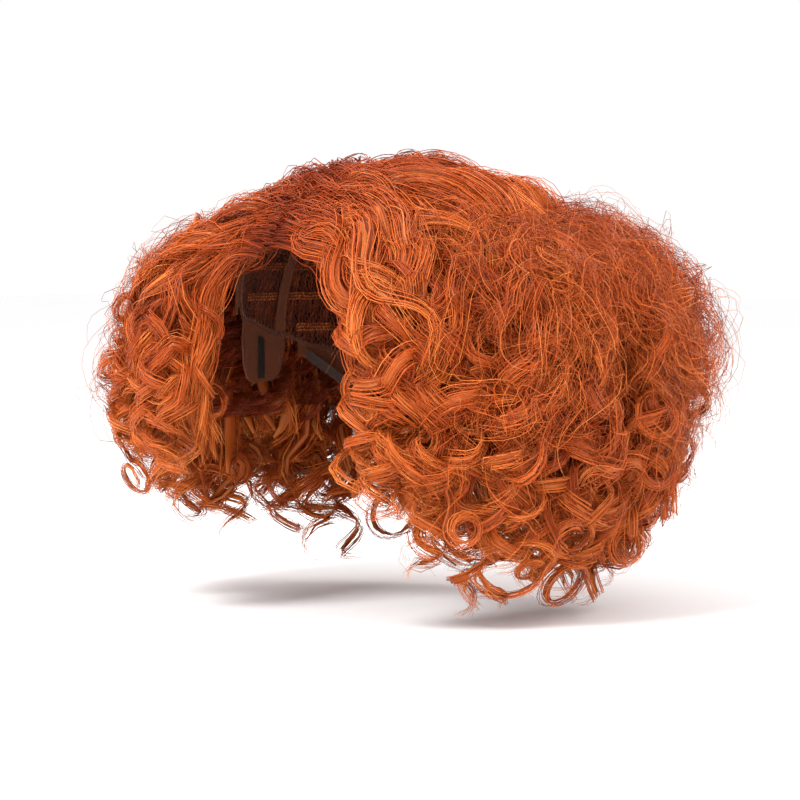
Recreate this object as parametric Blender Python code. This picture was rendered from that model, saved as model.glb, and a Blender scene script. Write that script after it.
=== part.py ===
"""Costume wig: full, curly, side-swept hair on a machine-made open cap with a nape adjuster.

Metres, +Z up. The wearer faces -Y, and the wearer's left is +X. The origin is the point of the
cap that rests on the crown of the head. A turn is an angle in degrees about Z, from the face (0)
by way of the wearer's left ear (90) to the nape (180). A level says how far down the head a
point lies: 0 is the crown, 1 the head's widest level, and more is below it.
"""

import math

import bmesh
import bpy
from mathutils import Vector

# the head that the cap is made for
HALF_BREADTH = 0.077
HALF_LENGTH = 0.096
CROWN_HEIGHT = 0.095
NAPE_TAPER = 0.14
NAPE_TAPER_DEPTH = 0.030

# the cap's layers, as distances outward from the head
LINING_LIFT = 0.0
LINING_THICK = 0.0007
STAY_LIFT = 0.0002
STAY_THICK = 0.0006
NET_LIFT = 0.0016
NET_THICK = 0.0006
BAND_THICK = 0.0009
TRACK_LIFT = 0.0030
TRACK_THICK = 0.0013
TRACK_TALL = 0.042
HAIR_LIFT = 0.0060
SEAM_GAP = 0.006
SEAM_STEP = 10

# the cap's lower edge: (turn, level), the same on both sides
NET_EDGE = [(0, 0.50), (30, 0.53), (50, 0.70), (70, 0.92), (90, 0.98), (110, 1.06), (130, 1.24), (180, 1.28)]
FRONT_BAND_END = 60
FRONT_BAND_TALL = 0.085
EAR_TAB_TURN = 80
EAR_TAB_HALF_TURN = 13
EAR_TAB_SIDE = 1.04
EAR_TAB_DROP = 0.25
NAPE_BAND_START = 100
NAPE_BAND_TALL = (0.10, 0.25)
RIB_WIDE = 0.008
LABEL_THICK = 0.0004
SKIN_TOP_X = (-0.033, 0.017)
SKIN_TOP_Y = (-0.064, 0.020)

# the nape adjuster: a hook each side that is moved from pocket to pocket
ADJUSTER_Z = -0.131
POCKET_PITCH = 0.008
POCKETS = 4
FIRST_POCKET_TURN = 132
POCKET_TALL = 0.010
POCKET_THICK = 0.0005
POCKET_BULGE = 0.0012
ADJUSTER_CLEAR = 0.0007
HOOK_WIDE = 0.005
HOOK_PLATE_WIDE = 0.011
HOOK_PLATE_INSET = (0.0022, 0.0033)
HOOK_TONGUE_THICK = 0.0005
HOOK_TONGUE_FOOT = 0.0025
HOOK_RISE = 0.0005
HOOK_BEND_TALL = 0.0012
SLOT_ALONG = (0.0015, 0.0045)
SLOT_INSET = (0.0020, 0.0050)
SLOT_CLEAR = 0.0003
STRAP_TALL = 0.007
STRAP_THICK = 0.0007
STRAP_START = (103, 1.115, -0.0004)
STRAP_REACH = 0.0021
STRAP_INSET = 0.0045
STRAP_BOW = 0.0012
STRAP_FLAT_SHARE = 0.12

# the hair: how far it reaches at each turn where it is widest, the same on both sides
REACH = [
    (0, 0.135), (20, 0.140), (34, 0.152), (48, 0.168), (60, 0.173), (75, 0.180), (90, 0.187), (110, 0.200),
    (132, 0.214), (150, 0.209), (165, 0.202), (180, 0.197),
]
CROWN_LIFT = [(0, -0.006), (48, -0.004), (75, -0.003), (97, -0.001), (132, 0.006), (158, 0.010), (180, 0.012)]
CROWN_LIFT_FADE = (-0.080, -0.020)
HAIR_GAP = 0.0008
WAVE_TURN = 3.0
WAVE_LENGTH = 0.085
LOCK_SIDES = 12

HAIR = (0.53, 0.094, 0.026)
HAIR_DEEP = (0.36, 0.050, 0.014)
HAIR_LIGHT = (0.62, 0.135, 0.042)
NET_BROWN = (0.10, 0.032, 0.016)
RIBBON_BROWN = (0.14, 0.045, 0.022)
SKIN = (0.66, 0.43, 0.31)
PLASTIC = (0.020, 0.018, 0.017)
ELASTIC = (0.050, 0.030, 0.024)
LABEL_WHITE = (0.80, 0.79, 0.76)


def clear_scene():
    for old in list(bpy.data.objects):
        bpy.data.objects.remove(old, do_unlink=True)


def make_material(name, colour, roughness):
    material = bpy.data.materials.new(name)
    material.use_nodes = True
    shader = material.node_tree.nodes["Principled BSDF"]
    shader.inputs["Base Color"].default_value = (*colour, 1.0)
    shader.inputs["Roughness"].default_value = roughness
    shader.inputs["Metallic"].default_value = 0.0
    return material


def add_object(name, mesh_data, colour, roughness=0.6):
    """Makes an object of a bmesh, its faces out and its round parts shaded smooth."""
    bmesh.ops.recalc_face_normals(mesh_data, faces=mesh_data.faces)
    if mesh_data.calc_volume(signed=True) < 0:
        bmesh.ops.reverse_faces(mesh_data, faces=mesh_data.faces)
    mesh = bpy.data.meshes.new(name)
    mesh_data.to_mesh(mesh)
    mesh_data.free()
    mesh.materials.append(make_material(name + "_material", colour, roughness))
    mesh.shade_smooth()
    mesh.set_sharp_from_angle(angle=math.radians(40))
    piece = bpy.data.objects.new(name, mesh)
    bpy.context.scene.collection.objects.link(piece)
    return piece


def smooth_step(value):
    value = min(max(value, 0.0), 1.0)
    return value * value * (3.0 - 2.0 * value)


def mix(a, b, share):
    return a + (b - a) * share


def read_outline(points, at):
    """The height of a smooth line through (at, height) points."""
    if at <= points[0][0]:
        return points[0][1]
    for (at_a, low), (at_b, high) in zip(points, points[1:]):
        if at <= at_b:
            return mix(low, high, smooth_step((at - at_a) / (at_b - at_a)))
    return points[-1][1]


def from_face(turn):
    """The turn folded onto the wearer's left side, 0 to 180."""
    return abs((turn + 180.0) % 360.0 - 180.0)


# ---- the head ----


def ring_share(turn, height):
    """The head's girth at a height, as a share of its widest, tapering in to the nape."""
    drop = height / CROWN_HEIGHT + 1.0
    if drop >= 0.0:
        return math.sqrt(max(0.0, 1.0 - drop * drop))
    behind = smooth_step((from_face(turn) - 95.0) / 35.0)
    depth = smooth_step((-height - CROWN_HEIGHT) / NAPE_TAPER_DEPTH)
    return 1.0 - NAPE_TAPER * behind * depth


def level_height(level):
    if level <= 1.0:
        return CROWN_HEIGHT * (math.cos(level * math.pi / 2) - 1.0)
    return -CROWN_HEIGHT * level


def head_point(turn, level, lift):
    """A point at a distance outward from the head."""
    height = level_height(level)
    girth = ring_share(turn, height)
    angle = math.radians(turn)
    lean = min(level, 1.0) * math.pi / 2
    side = lift * math.sin(lean)
    x = (HALF_BREADTH * girth + side) * math.sin(angle)
    y = -(HALF_LENGTH * girth + side) * math.cos(angle)
    return Vector((x, y, height + lift * math.cos(lean)))


def head_radius(azimuth, height):
    """How far the head's surface is from the Z axis, in a true direction seen from above."""
    angle = math.radians(azimuth)
    across = math.sin(angle) / HALF_BREADTH
    along = math.cos(angle) / HALF_LENGTH
    return ring_share(azimuth, height) / math.hypot(across, along)


# ---- thin pieces of the cap ----


def grid_sheet(name, point, columns, rows, thick, colour, roughness=0.8):
    """A thin closed sheet: a grid of point(across, down) for 0 to 1, thickened outward."""
    sheet = bmesh.new()
    grid = []
    for i in range(columns + 1):
        grid.append([sheet.verts.new(point(i / columns, j / rows)) for j in range(rows + 1)])
    for i in range(columns):
        for j in range(rows):
            sheet.faces.new((grid[i][j], grid[i][j + 1], grid[i + 1][j + 1], grid[i + 1][j]))
    piece = add_object(name, sheet, colour, roughness)
    thicken(piece, thick)
    return piece


def thicken(piece, thick):
    """Gives a sheet its thickness, on the side away from the head."""
    mesh = piece.data
    outward = sum(face.normal.dot(face.center - Vector((0, 0, -CROWN_HEIGHT))) for face in mesh.polygons)
    if outward < 0:
        mesh.flip_normals()
    solidify = piece.modifiers.new("thickness", "SOLIDIFY")
    solidify.thickness = thick
    solidify.offset = 1.0


def net_level(turn):
    return read_outline(NET_EDGE, from_face(turn))


def add_cap_net():
    """The stretch net dome, from the crown down to the bands."""
    columns = 360 // SEAM_STEP
    rows = 12
    net = bmesh.new()
    crown = net.verts.new(head_point(0, 0, NET_LIFT))
    rings = []
    for j in range(1, rows + 1):
        turns = [SEAM_STEP * i for i in range(columns)]
        rings.append([net.verts.new(head_point(t, net_level(t) * j / rows, NET_LIFT)) for t in turns])
    for i in range(columns):
        k = (i + 1) % columns
        net.faces.new((crown, rings[0][i], rings[0][k]))
        for upper, lower in zip(rings, rings[1:]):
            net.faces.new((upper[i], lower[i], lower[k], upper[k]))
    thicken(add_object("cap_net", net, NET_BROWN, 0.9), NET_THICK)


def add_front_band():
    """The ribbon along the forehead hairline, under the net's front edge."""

    def point(across, down):
        turn = mix(-FRONT_BAND_END, FRONT_BAND_END, across)
        top = net_level(turn) + SEAM_GAP
        return head_point(turn, top + FRONT_BAND_TALL * down, NET_LIFT)

    grid_sheet("front_band", point, 2 * FRONT_BAND_END // SEAM_STEP, 1, BAND_THICK, RIBBON_BROWN)


def ear_tab_point(side, across, down, lift):
    turn = EAR_TAB_TURN + EAR_TAB_HALF_TURN * (2 * across - 1)
    rounding = math.sqrt(max(0.0, 1.0 - (2 * across - 1) ** 4))
    top = net_level(turn) + 2 * SEAM_GAP
    bottom = EAR_TAB_SIDE + EAR_TAB_DROP * rounding
    return head_point(side * turn, mix(top, bottom, down), lift)


def add_ear_tabs(side, word):
    """A tab in front of the ear, with its bendable stay on the head side."""

    def tab_point(across, down):
        return ear_tab_point(side, across, down, NET_LIFT)

    def stay_point(across, down):
        return ear_tab_point(side, mix(0.40, 0.54, across), mix(0.12, 0.92, down), STAY_LIFT)

    grid_sheet("ear_tab_" + word, tab_point, 10, 3, BAND_THICK, RIBBON_BROWN)
    grid_sheet("ear_tab_stay_" + word, stay_point, 1, 4, STAY_THICK, PLASTIC, 0.4)


def nape_band_levels(turn):
    behind = smooth_step((from_face(turn) - NAPE_BAND_START) / 30.0)
    top = net_level(turn) + SEAM_GAP
    return top, net_level(turn) + mix(*NAPE_BAND_TALL, behind)


def add_nape_band():
    """The wide ribbon from ear to ear round the back of the neck."""

    def point(across, down):
        turn = mix(NAPE_BAND_START, 360 - NAPE_BAND_START, across)
        top, bottom = nape_band_levels(turn)
        return head_point(turn, mix(top, bottom, down), NET_LIFT)

    columns = (360 - 2 * NAPE_BAND_START) // SEAM_STEP
    grid_sheet("nape_band", point, columns, 3, BAND_THICK, RIBBON_BROWN)


def add_rib(name, turn, start):
    """An elastic ribbon on the inside of the net, from near the crown to the net's edge."""
    end = net_level(turn) - SEAM_GAP

    def point(across, down):
        level = mix(start, end, down)
        middle = head_point(turn, level, LINING_LIFT)
        around = (head_point(turn + 1.0, level, LINING_LIFT) - middle).length
        return head_point(turn + (across - 0.5) * RIB_WIDE / around, level, LINING_LIFT)

    grid_sheet(name, point, 2, 9, LINING_THICK, RIBBON_BROWN)


def add_skin_top():
    """The smooth patch under the parting, on the inside of the net."""

    def point(across, down):
        x = mix(*SKIN_TOP_X, across)
        y = mix(*SKIN_TOP_Y, down)
        dome = math.sqrt(1.0 - (x / HALF_BREADTH) ** 2 - (y / HALF_LENGTH) ** 2)
        return Vector((x, y, CROWN_HEIGHT * (dome - 1.0)))

    grid_sheet("skin_top", point, 6, 9, LINING_THICK, SKIN, 0.5)


def add_weft_track(name, level, first, last):
    """The sewn header of one row of hair, on the outside of the cap."""

    def point(across, down):
        turn = mix(first, last, across)
        return head_point(turn, level + TRACK_TALL * (down - 0.5), TRACK_LIFT)

    grid_sheet(name, point, (last - first) // SEAM_STEP, 1, TRACK_THICK, HAIR_DEEP)


def add_label():
    """A blank size label sewn into the nape band at the centre back."""

    def point(across, down):
        turn = mix(169, 191, across)
        return head_point(turn, mix(1.34, 1.50, down), LINING_LIFT)

    grid_sheet("size_label", point, 4, 1, LABEL_THICK, LABEL_WHITE, 0.7)


# ---- the nape adjuster ----


def circle_through(a, b, c):
    """The centre and radius of the circle through three points seen from above."""
    d = 2 * (a.x * (b.y - c.y) + b.x * (c.y - a.y) + c.x * (a.y - b.y))
    squares = [p.x * p.x + p.y * p.y for p in (a, b, c)]
    x = (squares[0] * (b.y - c.y) + squares[1] * (c.y - a.y) + squares[2] * (a.y - b.y)) / d
    y = (squares[0] * (c.x - b.x) + squares[1] * (a.x - c.x) + squares[2] * (b.x - a.x)) / d
    return Vector((x, y, 0)), math.hypot(a.x - x, a.y - y)


class NapeArc:
    """The arc on the inside of the nape band that one side's hook travels along."""

    def __init__(self, side):
        self.side = side
        level = -ADJUSTER_Z / CROWN_HEIGHT
        marks = [head_point(side * (FIRST_POCKET_TURN + step), level, NET_LIFT) for step in (-4, 9, 22)]
        self.centre, self.radius = circle_through(*marks)
        first = head_point(side * FIRST_POCKET_TURN, level, 0) - self.centre
        self.start = math.atan2(first.y, first.x)

    def angle(self, along):
        """The direction of a point a distance along the arc, towards the centre back."""
        return self.start + self.side * along / self.radius

    def point(self, along, inset, height):
        angle = self.angle(along)
        reach = self.radius - inset
        return self.centre + Vector((reach * math.cos(angle), reach * math.sin(angle), height))


def arc_block(arc, alongs, insets, heights):
    """A block that follows the arc, as a bmesh."""
    block = bmesh.new()
    steps = 4
    rings = []
    for i in range(steps + 1):
        along = mix(*alongs, i / steps)
        corners = [(insets[0], heights[0]), (insets[1], heights[0]), (insets[1], heights[1]), (insets[0], heights[1])]
        rings.append([block.verts.new(arc.point(along, inset, height)) for inset, height in corners])
    for ring_a, ring_b in zip(rings, rings[1:]):
        for k in range(4):
            n = (k + 1) % 4
            block.faces.new((ring_a[k], ring_a[n], ring_b[n], ring_b[k]))
    block.faces.new(rings[0])
    block.faces.new(reversed(rings[-1]))
    return block


def join_by_boolean(piece, other, operation):
    """Joins or cuts a piece with a helper object, which is then removed."""
    boolean = piece.modifiers.new(operation.lower(), "BOOLEAN")
    boolean.operation = operation
    boolean.object = other
    boolean.solver = "EXACT"
    shaped = bpy.data.meshes.new_from_object(piece.evaluated_get(bpy.context.evaluated_depsgraph_get()))
    piece.modifiers.clear()
    piece.data = shaped
    bpy.data.objects.remove(other, do_unlink=True)


def add_pocket_tape(arc, word):
    """A ribbon that is sewn to the nape band at every pitch and stands off it between."""
    length = POCKETS * POCKET_PITCH
    samples = POCKETS * 8

    def point(across, down):
        along = mix(-POCKET_PITCH / 2, length - POCKET_PITCH / 2, across)
        stand = abs(math.cos(math.pi * along / POCKET_PITCH)) ** 0.6
        inset = ADJUSTER_CLEAR + POCKET_THICK + POCKET_BULGE * stand
        return arc.point(along, inset, ADJUSTER_Z + POCKET_TALL * (0.5 - down))

    grid_sheet("pocket_tape_" + word, point, samples, 1, POCKET_THICK, ELASTIC)


def add_hook(arc, word):
    """The plastic hook: a slotted plate, a bend over the ribbon and a tongue behind it."""
    top = ADJUSTER_Z + POCKET_TALL / 2 + HOOK_RISE
    over = top + HOOK_BEND_TALL
    half = HOOK_WIDE / 2
    plate_start = half - HOOK_PLATE_WIDE
    plate = (ADJUSTER_CLEAR + HOOK_PLATE_INSET[0], ADJUSTER_CLEAR + HOOK_PLATE_INSET[1])
    tongue = (ADJUSTER_CLEAR, ADJUSTER_CLEAR + HOOK_TONGUE_THICK)
    foot = ADJUSTER_Z - HOOK_TONGUE_FOOT

    def block(name, alongs, insets, heights):
        return add_object(name, arc_block(arc, alongs, insets, heights), PLASTIC, 0.35)

    hook = block("adjuster_hook_" + word, (plate_start, half), plate, (ADJUSTER_Z - POCKET_TALL / 2, over))
    bend = block("bend", (-half * 0.9, half * 0.9), (tongue[0] + 0.0001, plate[1] - 0.0002), (top, over + 0.0004))
    join_by_boolean(hook, bend, "UNION")
    pin = block("pin", (-half * 0.8, half * 0.8), tongue, (foot, over - 0.0003))
    join_by_boolean(hook, pin, "UNION")
    slot_half = STRAP_TALL / 2 + SLOT_CLEAR
    slot_alongs = (plate_start + SLOT_ALONG[0], plate_start + SLOT_ALONG[1])
    slot = block("slot", slot_alongs, SLOT_INSET, (ADJUSTER_Z - slot_half, ADJUSTER_Z + slot_half))
    join_by_boolean(hook, slot, "DIFFERENCE")
    set_origin(hook, arc.centre + Vector((0, 0, ADJUSTER_Z)))


def set_origin(piece, place):
    """Moves an object's origin, leaving its shape where it is."""
    for vertex in piece.data.vertices:
        vertex.co -= place
    piece.location = place


def add_strap(arc, word):
    """The elastic from the cap's edge behind the ear to the hook's slot."""
    hook_end = HOOK_WIDE / 2 - HOOK_PLATE_WIDE + STRAP_REACH
    start_turn, start_level, start_lift = STRAP_START
    first = head_point(arc.side * start_turn, start_level, start_lift)
    last = arc.point(hook_end, ADJUSTER_CLEAR + STRAP_INSET, ADJUSTER_Z)
    near = arc.point(hook_end - HOOK_PLATE_WIDE / 2, ADJUSTER_CLEAR + STRAP_INSET, ADJUSTER_Z)

    def centre(share):
        """A smooth line that bends round the inside of the nape band."""
        turn = math.degrees(math.atan2(near.x, -near.y))
        ear = math.degrees(math.atan2(first.x, -first.y))
        azimuth = mix(ear, turn, share)
        height = mix(first.z, near.z, share)
        bow = math.sin(math.pi * share) * STRAP_BOW
        radius = mix(first.xy.length - head_radius(ear, first.z), near.xy.length - head_radius(turn, near.z), share)
        radius += head_radius(azimuth, height) - bow
        angle = math.radians(azimuth)
        return Vector((radius * math.sin(angle), -radius * math.cos(angle), height))

    def point(across, down):
        bent = 1.0 - STRAP_FLAT_SHARE
        middle = centre(min(across / bent, 1.0))
        if across > bent:
            middle = near.lerp(last, (across - bent) / STRAP_FLAT_SHARE)
        return middle + Vector((0, 0, STRAP_TALL * (0.5 - down)))

    grid_sheet("adjuster_strap_" + word, point, 14, 1, STRAP_THICK, ELASTIC)


# ---- the hair ----


def hair_reach(turn):
    return read_outline(REACH, from_face(turn))


class Row:
    """One row of hair: the meridian lines that bound it, each a list of (share, height).

    On the outer line, share is of the hair's reach. On the inner line, it is a distance out
    from the head, or from the head's widest ring where the row hangs below it.
    """

    def __init__(self, inner, outer, ends, sections):
        self.inner = inner
        self.outer = outer
        self.ends = ends
        self.sections = sections


def read_line(line, share):
    """A point part of the way along a list of pairs."""
    place = share * (len(line) - 1)
    index = min(int(place), len(line) - 2)
    a, b = line[index], line[index + 1]
    return mix(a[0], b[0], place - index), mix(a[1], b[1], place - index)


def inner_place(row, turn, share):
    lift, height = read_line(row.inner, share)
    level = max(height, -CROWN_HEIGHT)
    lean = math.acos(level / CROWN_HEIGHT + 1.0)
    return head_radius(turn, level) + lift * math.sin(lean), height + lift * math.cos(lean)


def outer_place(row, turn, share):
    part, height = read_line(row.outer, share)
    low, high = CROWN_LIFT_FADE
    fade = smooth_step((height - low) / (high - low)) * smooth_step(part * 4)
    return part * hair_reach(turn), height + read_outline(CROWN_LIFT, from_face(turn)) * fade


def hair_place(row, first, last, share, across, depth):
    """A point of a lock: across is -1 to 1 between its turns, depth -1 to 1 from in to out."""
    middle = (first + last) / 2
    half = (last - first) / 2
    turn = middle + half * across
    inner_radius, inner_height = inner_place(row, turn, share)
    outer_radius, outer_height = outer_place(row, turn, share)
    out = (depth + 1) / 2
    radius = mix(inner_radius, outer_radius, out)
    height = mix(inner_height, outer_height, out)
    turn -= math.degrees(HAIR_GAP / max(radius, 0.02)) * across
    turn += WAVE_TURN * math.sin(2 * math.pi * height / WAVE_LENGTH) * smooth_step(radius / 0.08 - 0.3)
    angle = math.radians(turn)
    return Vector((radius * math.sin(angle), -radius * math.cos(angle), height))


def add_lock(name, row, first, last, colour):
    """One closed lock of hair between two turns, full in the middle and rounded at its ends."""
    lock = bmesh.new()
    rings = []
    for j in range(row.sections + 1):
        share = j / row.sections
        top, bottom = row.ends
        width = mix(top, 1.0, smooth_step(share * 4)) * mix(bottom, 1.0, smooth_step((1 - share) * 3))
        ring = []
        for k in range(LOCK_SIDES):
            angle = 2 * math.pi * k / LOCK_SIDES
            across = math.copysign(abs(math.cos(angle)) ** 0.75, math.cos(angle))
            depth = math.copysign(abs(math.sin(angle)) ** 0.75, math.sin(angle))
            ring.append(lock.verts.new(hair_place(row, first, last, share, across * width, depth * width)))
        rings.append(ring)
    for ring_a, ring_b in zip(rings, rings[1:]):
        for k in range(LOCK_SIDES):
            n = (k + 1) % LOCK_SIDES
            lock.faces.new((ring_a[k], ring_a[n], ring_b[n], ring_b[k]))
    for ring in (rings[0], rings[-1]):
        middle = lock.verts.new(sum((v.co for v in ring), Vector()) / LOCK_SIDES)
        for k in range(LOCK_SIDES):
            lock.faces.new((middle, ring[k], ring[(k + 1) % LOCK_SIDES]))
    add_object(name, lock, colour, 0.5)


CROWN = Row(
    inner=[(HAIR_LIFT, -0.0010), (HAIR_LIFT, -0.008), (HAIR_LIFT, -0.019), (HAIR_LIFT, -0.033)],
    outer=[(0.08, 0.009), (0.28, 0.002), (0.46, -0.010), (0.63, -0.021)],
    ends=(0.60, 0.88),
    sections=7,
)
BODY = Row(
    inner=[(HAIR_LIFT, -0.039), (0.0075, -0.070), (HAIR_LIFT, -0.104), (HAIR_LIFT, -0.139)],
    outer=[(0.68, -0.027), (0.95, -0.062), (1.0, -0.100), (0.99, -0.139)],
    ends=(0.80, 0.90),
    sections=6,
)
HEM = Row(
    inner=[(HAIR_LIFT, -0.142), (HAIR_LIFT, -0.175), (0.008, -0.208), (0.012, -0.238)],
    outer=[(0.98, -0.143), (0.91, -0.180), (0.83, -0.218), (0.70, -0.252)],
    ends=(0.90, 0.50),
    sections=6,
)
CURTAIN = Row(
    inner=[(HAIR_LIFT, -0.056), (0.007, -0.095), (0.010, -0.140), (0.018, -0.182)],
    outer=[(0.74, -0.036), (0.96, -0.076), (0.99, -0.135), (0.82, -0.190)],
    ends=(0.70, 0.50),
    sections=7,
)
TENDRIL = Row(
    inner=[(0.008, -0.075), (0.009, -0.095), (0.008, -0.130), (0.006, -0.170)],
    outer=[(0.72, -0.073), (0.76, -0.095), (0.77, -0.130), (0.74, -0.172)],
    ends=(0.60, 0.40),
    sections=6,
)
FRINGE = Row(
    inner=[(0.004, -0.046), (0.004, -0.059), (0.005, -0.072)],
    outer=[(0.68, -0.042), (0.72, -0.058), (0.73, -0.072)],
    ends=(0.80, 0.60),
    sections=4,
)

CROWN_LOCKS = [
    ("front_sweep_left", 2, 50), ("side_sweep_left", 50, 100), ("crown_back_left", 100, 155),
    ("crown_back", 155, 205), ("crown_back_right", 205, 260), ("side_sweep_right", 260, 310),
    ("front_sweep_right", 310, 358),
]
BODY_LOCKS = [
    "side_front_left", "side_rear_left", "back_left", "back_center", "back_right", "side_rear_right",
    "side_front_right",
]
BODY_SPAN = (66, 294)
HEM_LOCKS = [
    "ringlets_ear_left", "ringlets_side_left", "ringlets_corner_left", "ringlets_nape_left", "ringlets_nape_center",
    "ringlets_nape_right", "ringlets_corner_right", "ringlets_side_right", "ringlets_ear_right",
]
HEM_SPAN = (66, 294)


def add_row(row, names, span, colours):
    step = (span[1] - span[0]) / len(names)
    for k, name in enumerate(names):
        start = span[0] + k * step
        add_lock("hair_" + name, row, start, start + step, colours[k % len(colours)])


def add_hair():
    add_lock("hair_fringe_left", FRINGE, 4, 27, HAIR)
    for k, (name, first, last) in enumerate(CROWN_LOCKS):
        add_lock("hair_" + name, CROWN, first, last, (HAIR, HAIR_LIGHT)[k % 2])
    add_row(BODY, BODY_LOCKS, BODY_SPAN, (HAIR_DEEP, HAIR))
    add_row(HEM, HEM_LOCKS, HEM_SPAN, (HAIR_LIGHT, HAIR))
    for side, word in ((1, "left"), (-1, "right")):
        for zone, first, last, colour in (("front", 35, 50, HAIR_LIGHT), ("ear", 50, 65, HAIR)):
            turns = sorted((side * first, side * last))
            add_lock("hair_curtain_" + zone + "_" + word, CURTAIN, *turns, colour)
        turns = sorted((side * 28, side * 34))
        add_lock("hair_tendril_" + word, TENDRIL, *turns, HAIR_LIGHT)


def add_cap():
    add_cap_net()
    add_skin_top()
    add_front_band()
    add_nape_band()
    add_label()
    add_rib("rib_center_back", 180, 0.30)
    for side, word in ((1, "left"), (-1, "right")):
        add_ear_tabs(side, word)
        add_rib("rib_side_" + word, side * 90, 0.38)
        add_rib("rib_back_" + word, side * 135, 0.34)


def add_weft_tracks():
    rows = [
        ("nape", 1.38, 120), ("lower_back", 1.20, 130), ("back", 1.08, 120), ("ear_level", 0.96, 100),
        ("upper_back", 0.83, 70), ("high_back", 0.70, 60), ("crown", 0.57, 50), ("top", 0.43, 40),
    ]
    for name, level, first in rows:
        add_weft_track("weft_track_" + name, level, first, 360 - first)


def add_adjusters():
    for side, word in ((1, "left"), (-1, "right")):
        arc = NapeArc(side)
        add_pocket_tape(arc, word)
        add_hook(arc, word)
        add_strap(arc, word)


def build():
    clear_scene()
    add_cap()
    add_weft_tracks()
    add_adjusters()
    add_hair()


build()
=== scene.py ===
"""The looks of the costume wig: curled copper hair on an open net cap, in soft studio light.

Metres, +Z up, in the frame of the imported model. A turn is an angle about Z from the face (0)
by way of the wearer's left ear to the nape (180 degrees). The hair is laid out on a flat map:
a place on the map is a direction from the crown and a distance from it, 0 at the crown and 1
at the lowest ringlets.
"""

import math

import bpy
import numpy as np
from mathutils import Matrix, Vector
from numpy.random import default_rng


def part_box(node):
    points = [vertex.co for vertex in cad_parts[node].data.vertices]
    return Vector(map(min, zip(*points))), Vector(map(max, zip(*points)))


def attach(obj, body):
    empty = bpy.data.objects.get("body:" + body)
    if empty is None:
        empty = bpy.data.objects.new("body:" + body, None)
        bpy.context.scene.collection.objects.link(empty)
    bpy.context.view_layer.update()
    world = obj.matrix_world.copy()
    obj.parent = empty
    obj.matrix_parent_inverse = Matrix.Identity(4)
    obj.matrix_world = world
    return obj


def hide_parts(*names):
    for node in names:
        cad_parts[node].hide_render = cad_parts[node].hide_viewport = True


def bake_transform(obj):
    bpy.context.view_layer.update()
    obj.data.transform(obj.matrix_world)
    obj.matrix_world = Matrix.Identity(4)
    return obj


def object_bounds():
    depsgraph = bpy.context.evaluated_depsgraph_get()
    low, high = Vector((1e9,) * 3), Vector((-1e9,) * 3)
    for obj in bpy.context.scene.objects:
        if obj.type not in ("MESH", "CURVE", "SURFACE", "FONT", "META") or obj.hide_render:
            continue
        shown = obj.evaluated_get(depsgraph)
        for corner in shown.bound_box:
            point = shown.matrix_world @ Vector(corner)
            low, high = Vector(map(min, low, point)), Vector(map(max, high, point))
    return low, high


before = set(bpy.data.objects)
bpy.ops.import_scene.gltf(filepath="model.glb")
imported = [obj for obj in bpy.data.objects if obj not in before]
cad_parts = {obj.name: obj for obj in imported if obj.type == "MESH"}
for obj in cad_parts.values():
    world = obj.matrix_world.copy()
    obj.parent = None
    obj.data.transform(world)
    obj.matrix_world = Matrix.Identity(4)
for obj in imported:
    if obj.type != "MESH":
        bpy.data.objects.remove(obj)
cad_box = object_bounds()

CAP = "cap"
SIDES = ((1, "left"), (-1, "right"))

# the head inside the cap
NET_OUT = 0.0022
net_low, net_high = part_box("cap_net")
HALF_BREADTH = (net_high[0] - net_low[0]) / 2 - NET_OUT
HALF_LENGTH = net_high[1] - NET_OUT
CROWN_HEIGHT = 0.095
NAPE_TAPER = 0.14
NAPE_TAPER_DEPTH = 0.030
NAPE_TAPER_TURNS = (95.0, 35.0)

# the hair's outer shape: reach by turn, and the outline from the crown down
REACH = [
    (0, 0.135), (20, 0.140), (34, 0.152), (48, 0.168), (60, 0.173), (75, 0.180),
    (90, 0.187), (110, 0.200), (132, 0.214), (150, 0.209), (165, 0.202), (180, 0.197),
]
# distance on the map, then share of the reach and height outside, then height and lift on the cap
OUTLINE = [
    (0.00, 0.00, 0.012, 0.0000, 0.004),
    (0.10, 0.16, 0.009, -0.0030, 0.004),
    (0.22, 0.33, 0.001, -0.010, 0.005),
    (0.34, 0.48, -0.010, -0.020, 0.005),
    (0.44, 0.61, -0.020, -0.033, 0.006),
    (0.52, 0.74, -0.031, -0.044, 0.006),
    (0.60, 0.92, -0.056, -0.066, 0.007),
    (0.70, 1.00, -0.098, -0.100, 0.007),
    (0.80, 0.99, -0.139, -0.140, 0.008),
    (0.90, 0.90, -0.190, -0.190, 0.012),
    (1.00, 0.72, -0.250, -0.240, 0.018),
]
# how far the top of the hair is raised, by turn, and the heights between which that sets in
CROWN_LIFT = [
    (0, -0.006), (48, -0.004), (75, -0.003), (97, -0.001), (132, 0.006), (158, 0.010), (180, 0.012),
]
CROWN_LIFT_FADE = (-0.080, -0.020)
# the parting's place across the map and its ends, and the turns that its hair sets out to
PARTING = -0.03
PARTING_ENDS = (-0.40, 0.12)
SWING_TURNS = (68, 105, 160)

# how uneven the outside is, and its larger swellings and hollows: (turn, far, amount, size)
LUMPS = 0.20
SWELLS = [
    (-48, 0.72, -0.25, 0.12), (-50, 0.34, -0.16, 0.26), (-20, 0.20, -0.14, 0.20),
    (128, 0.60, 0.07, 0.16), (130, 0.80, -0.12, 0.10), (132, 0.92, 0.05, 0.08),
    (100, 0.74, -0.16, 0.09), (64, 0.80, -0.14, 0.10),
]

# the cloth's yarns against its ribs, its fuzz, and how much of the ribs and of the weave show
YARN_PITCH = 0.7
FUZZ_SCALE = 900.0
RIB_SHARE = 0.35
WEAVE_SHARE = 0.25

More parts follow.
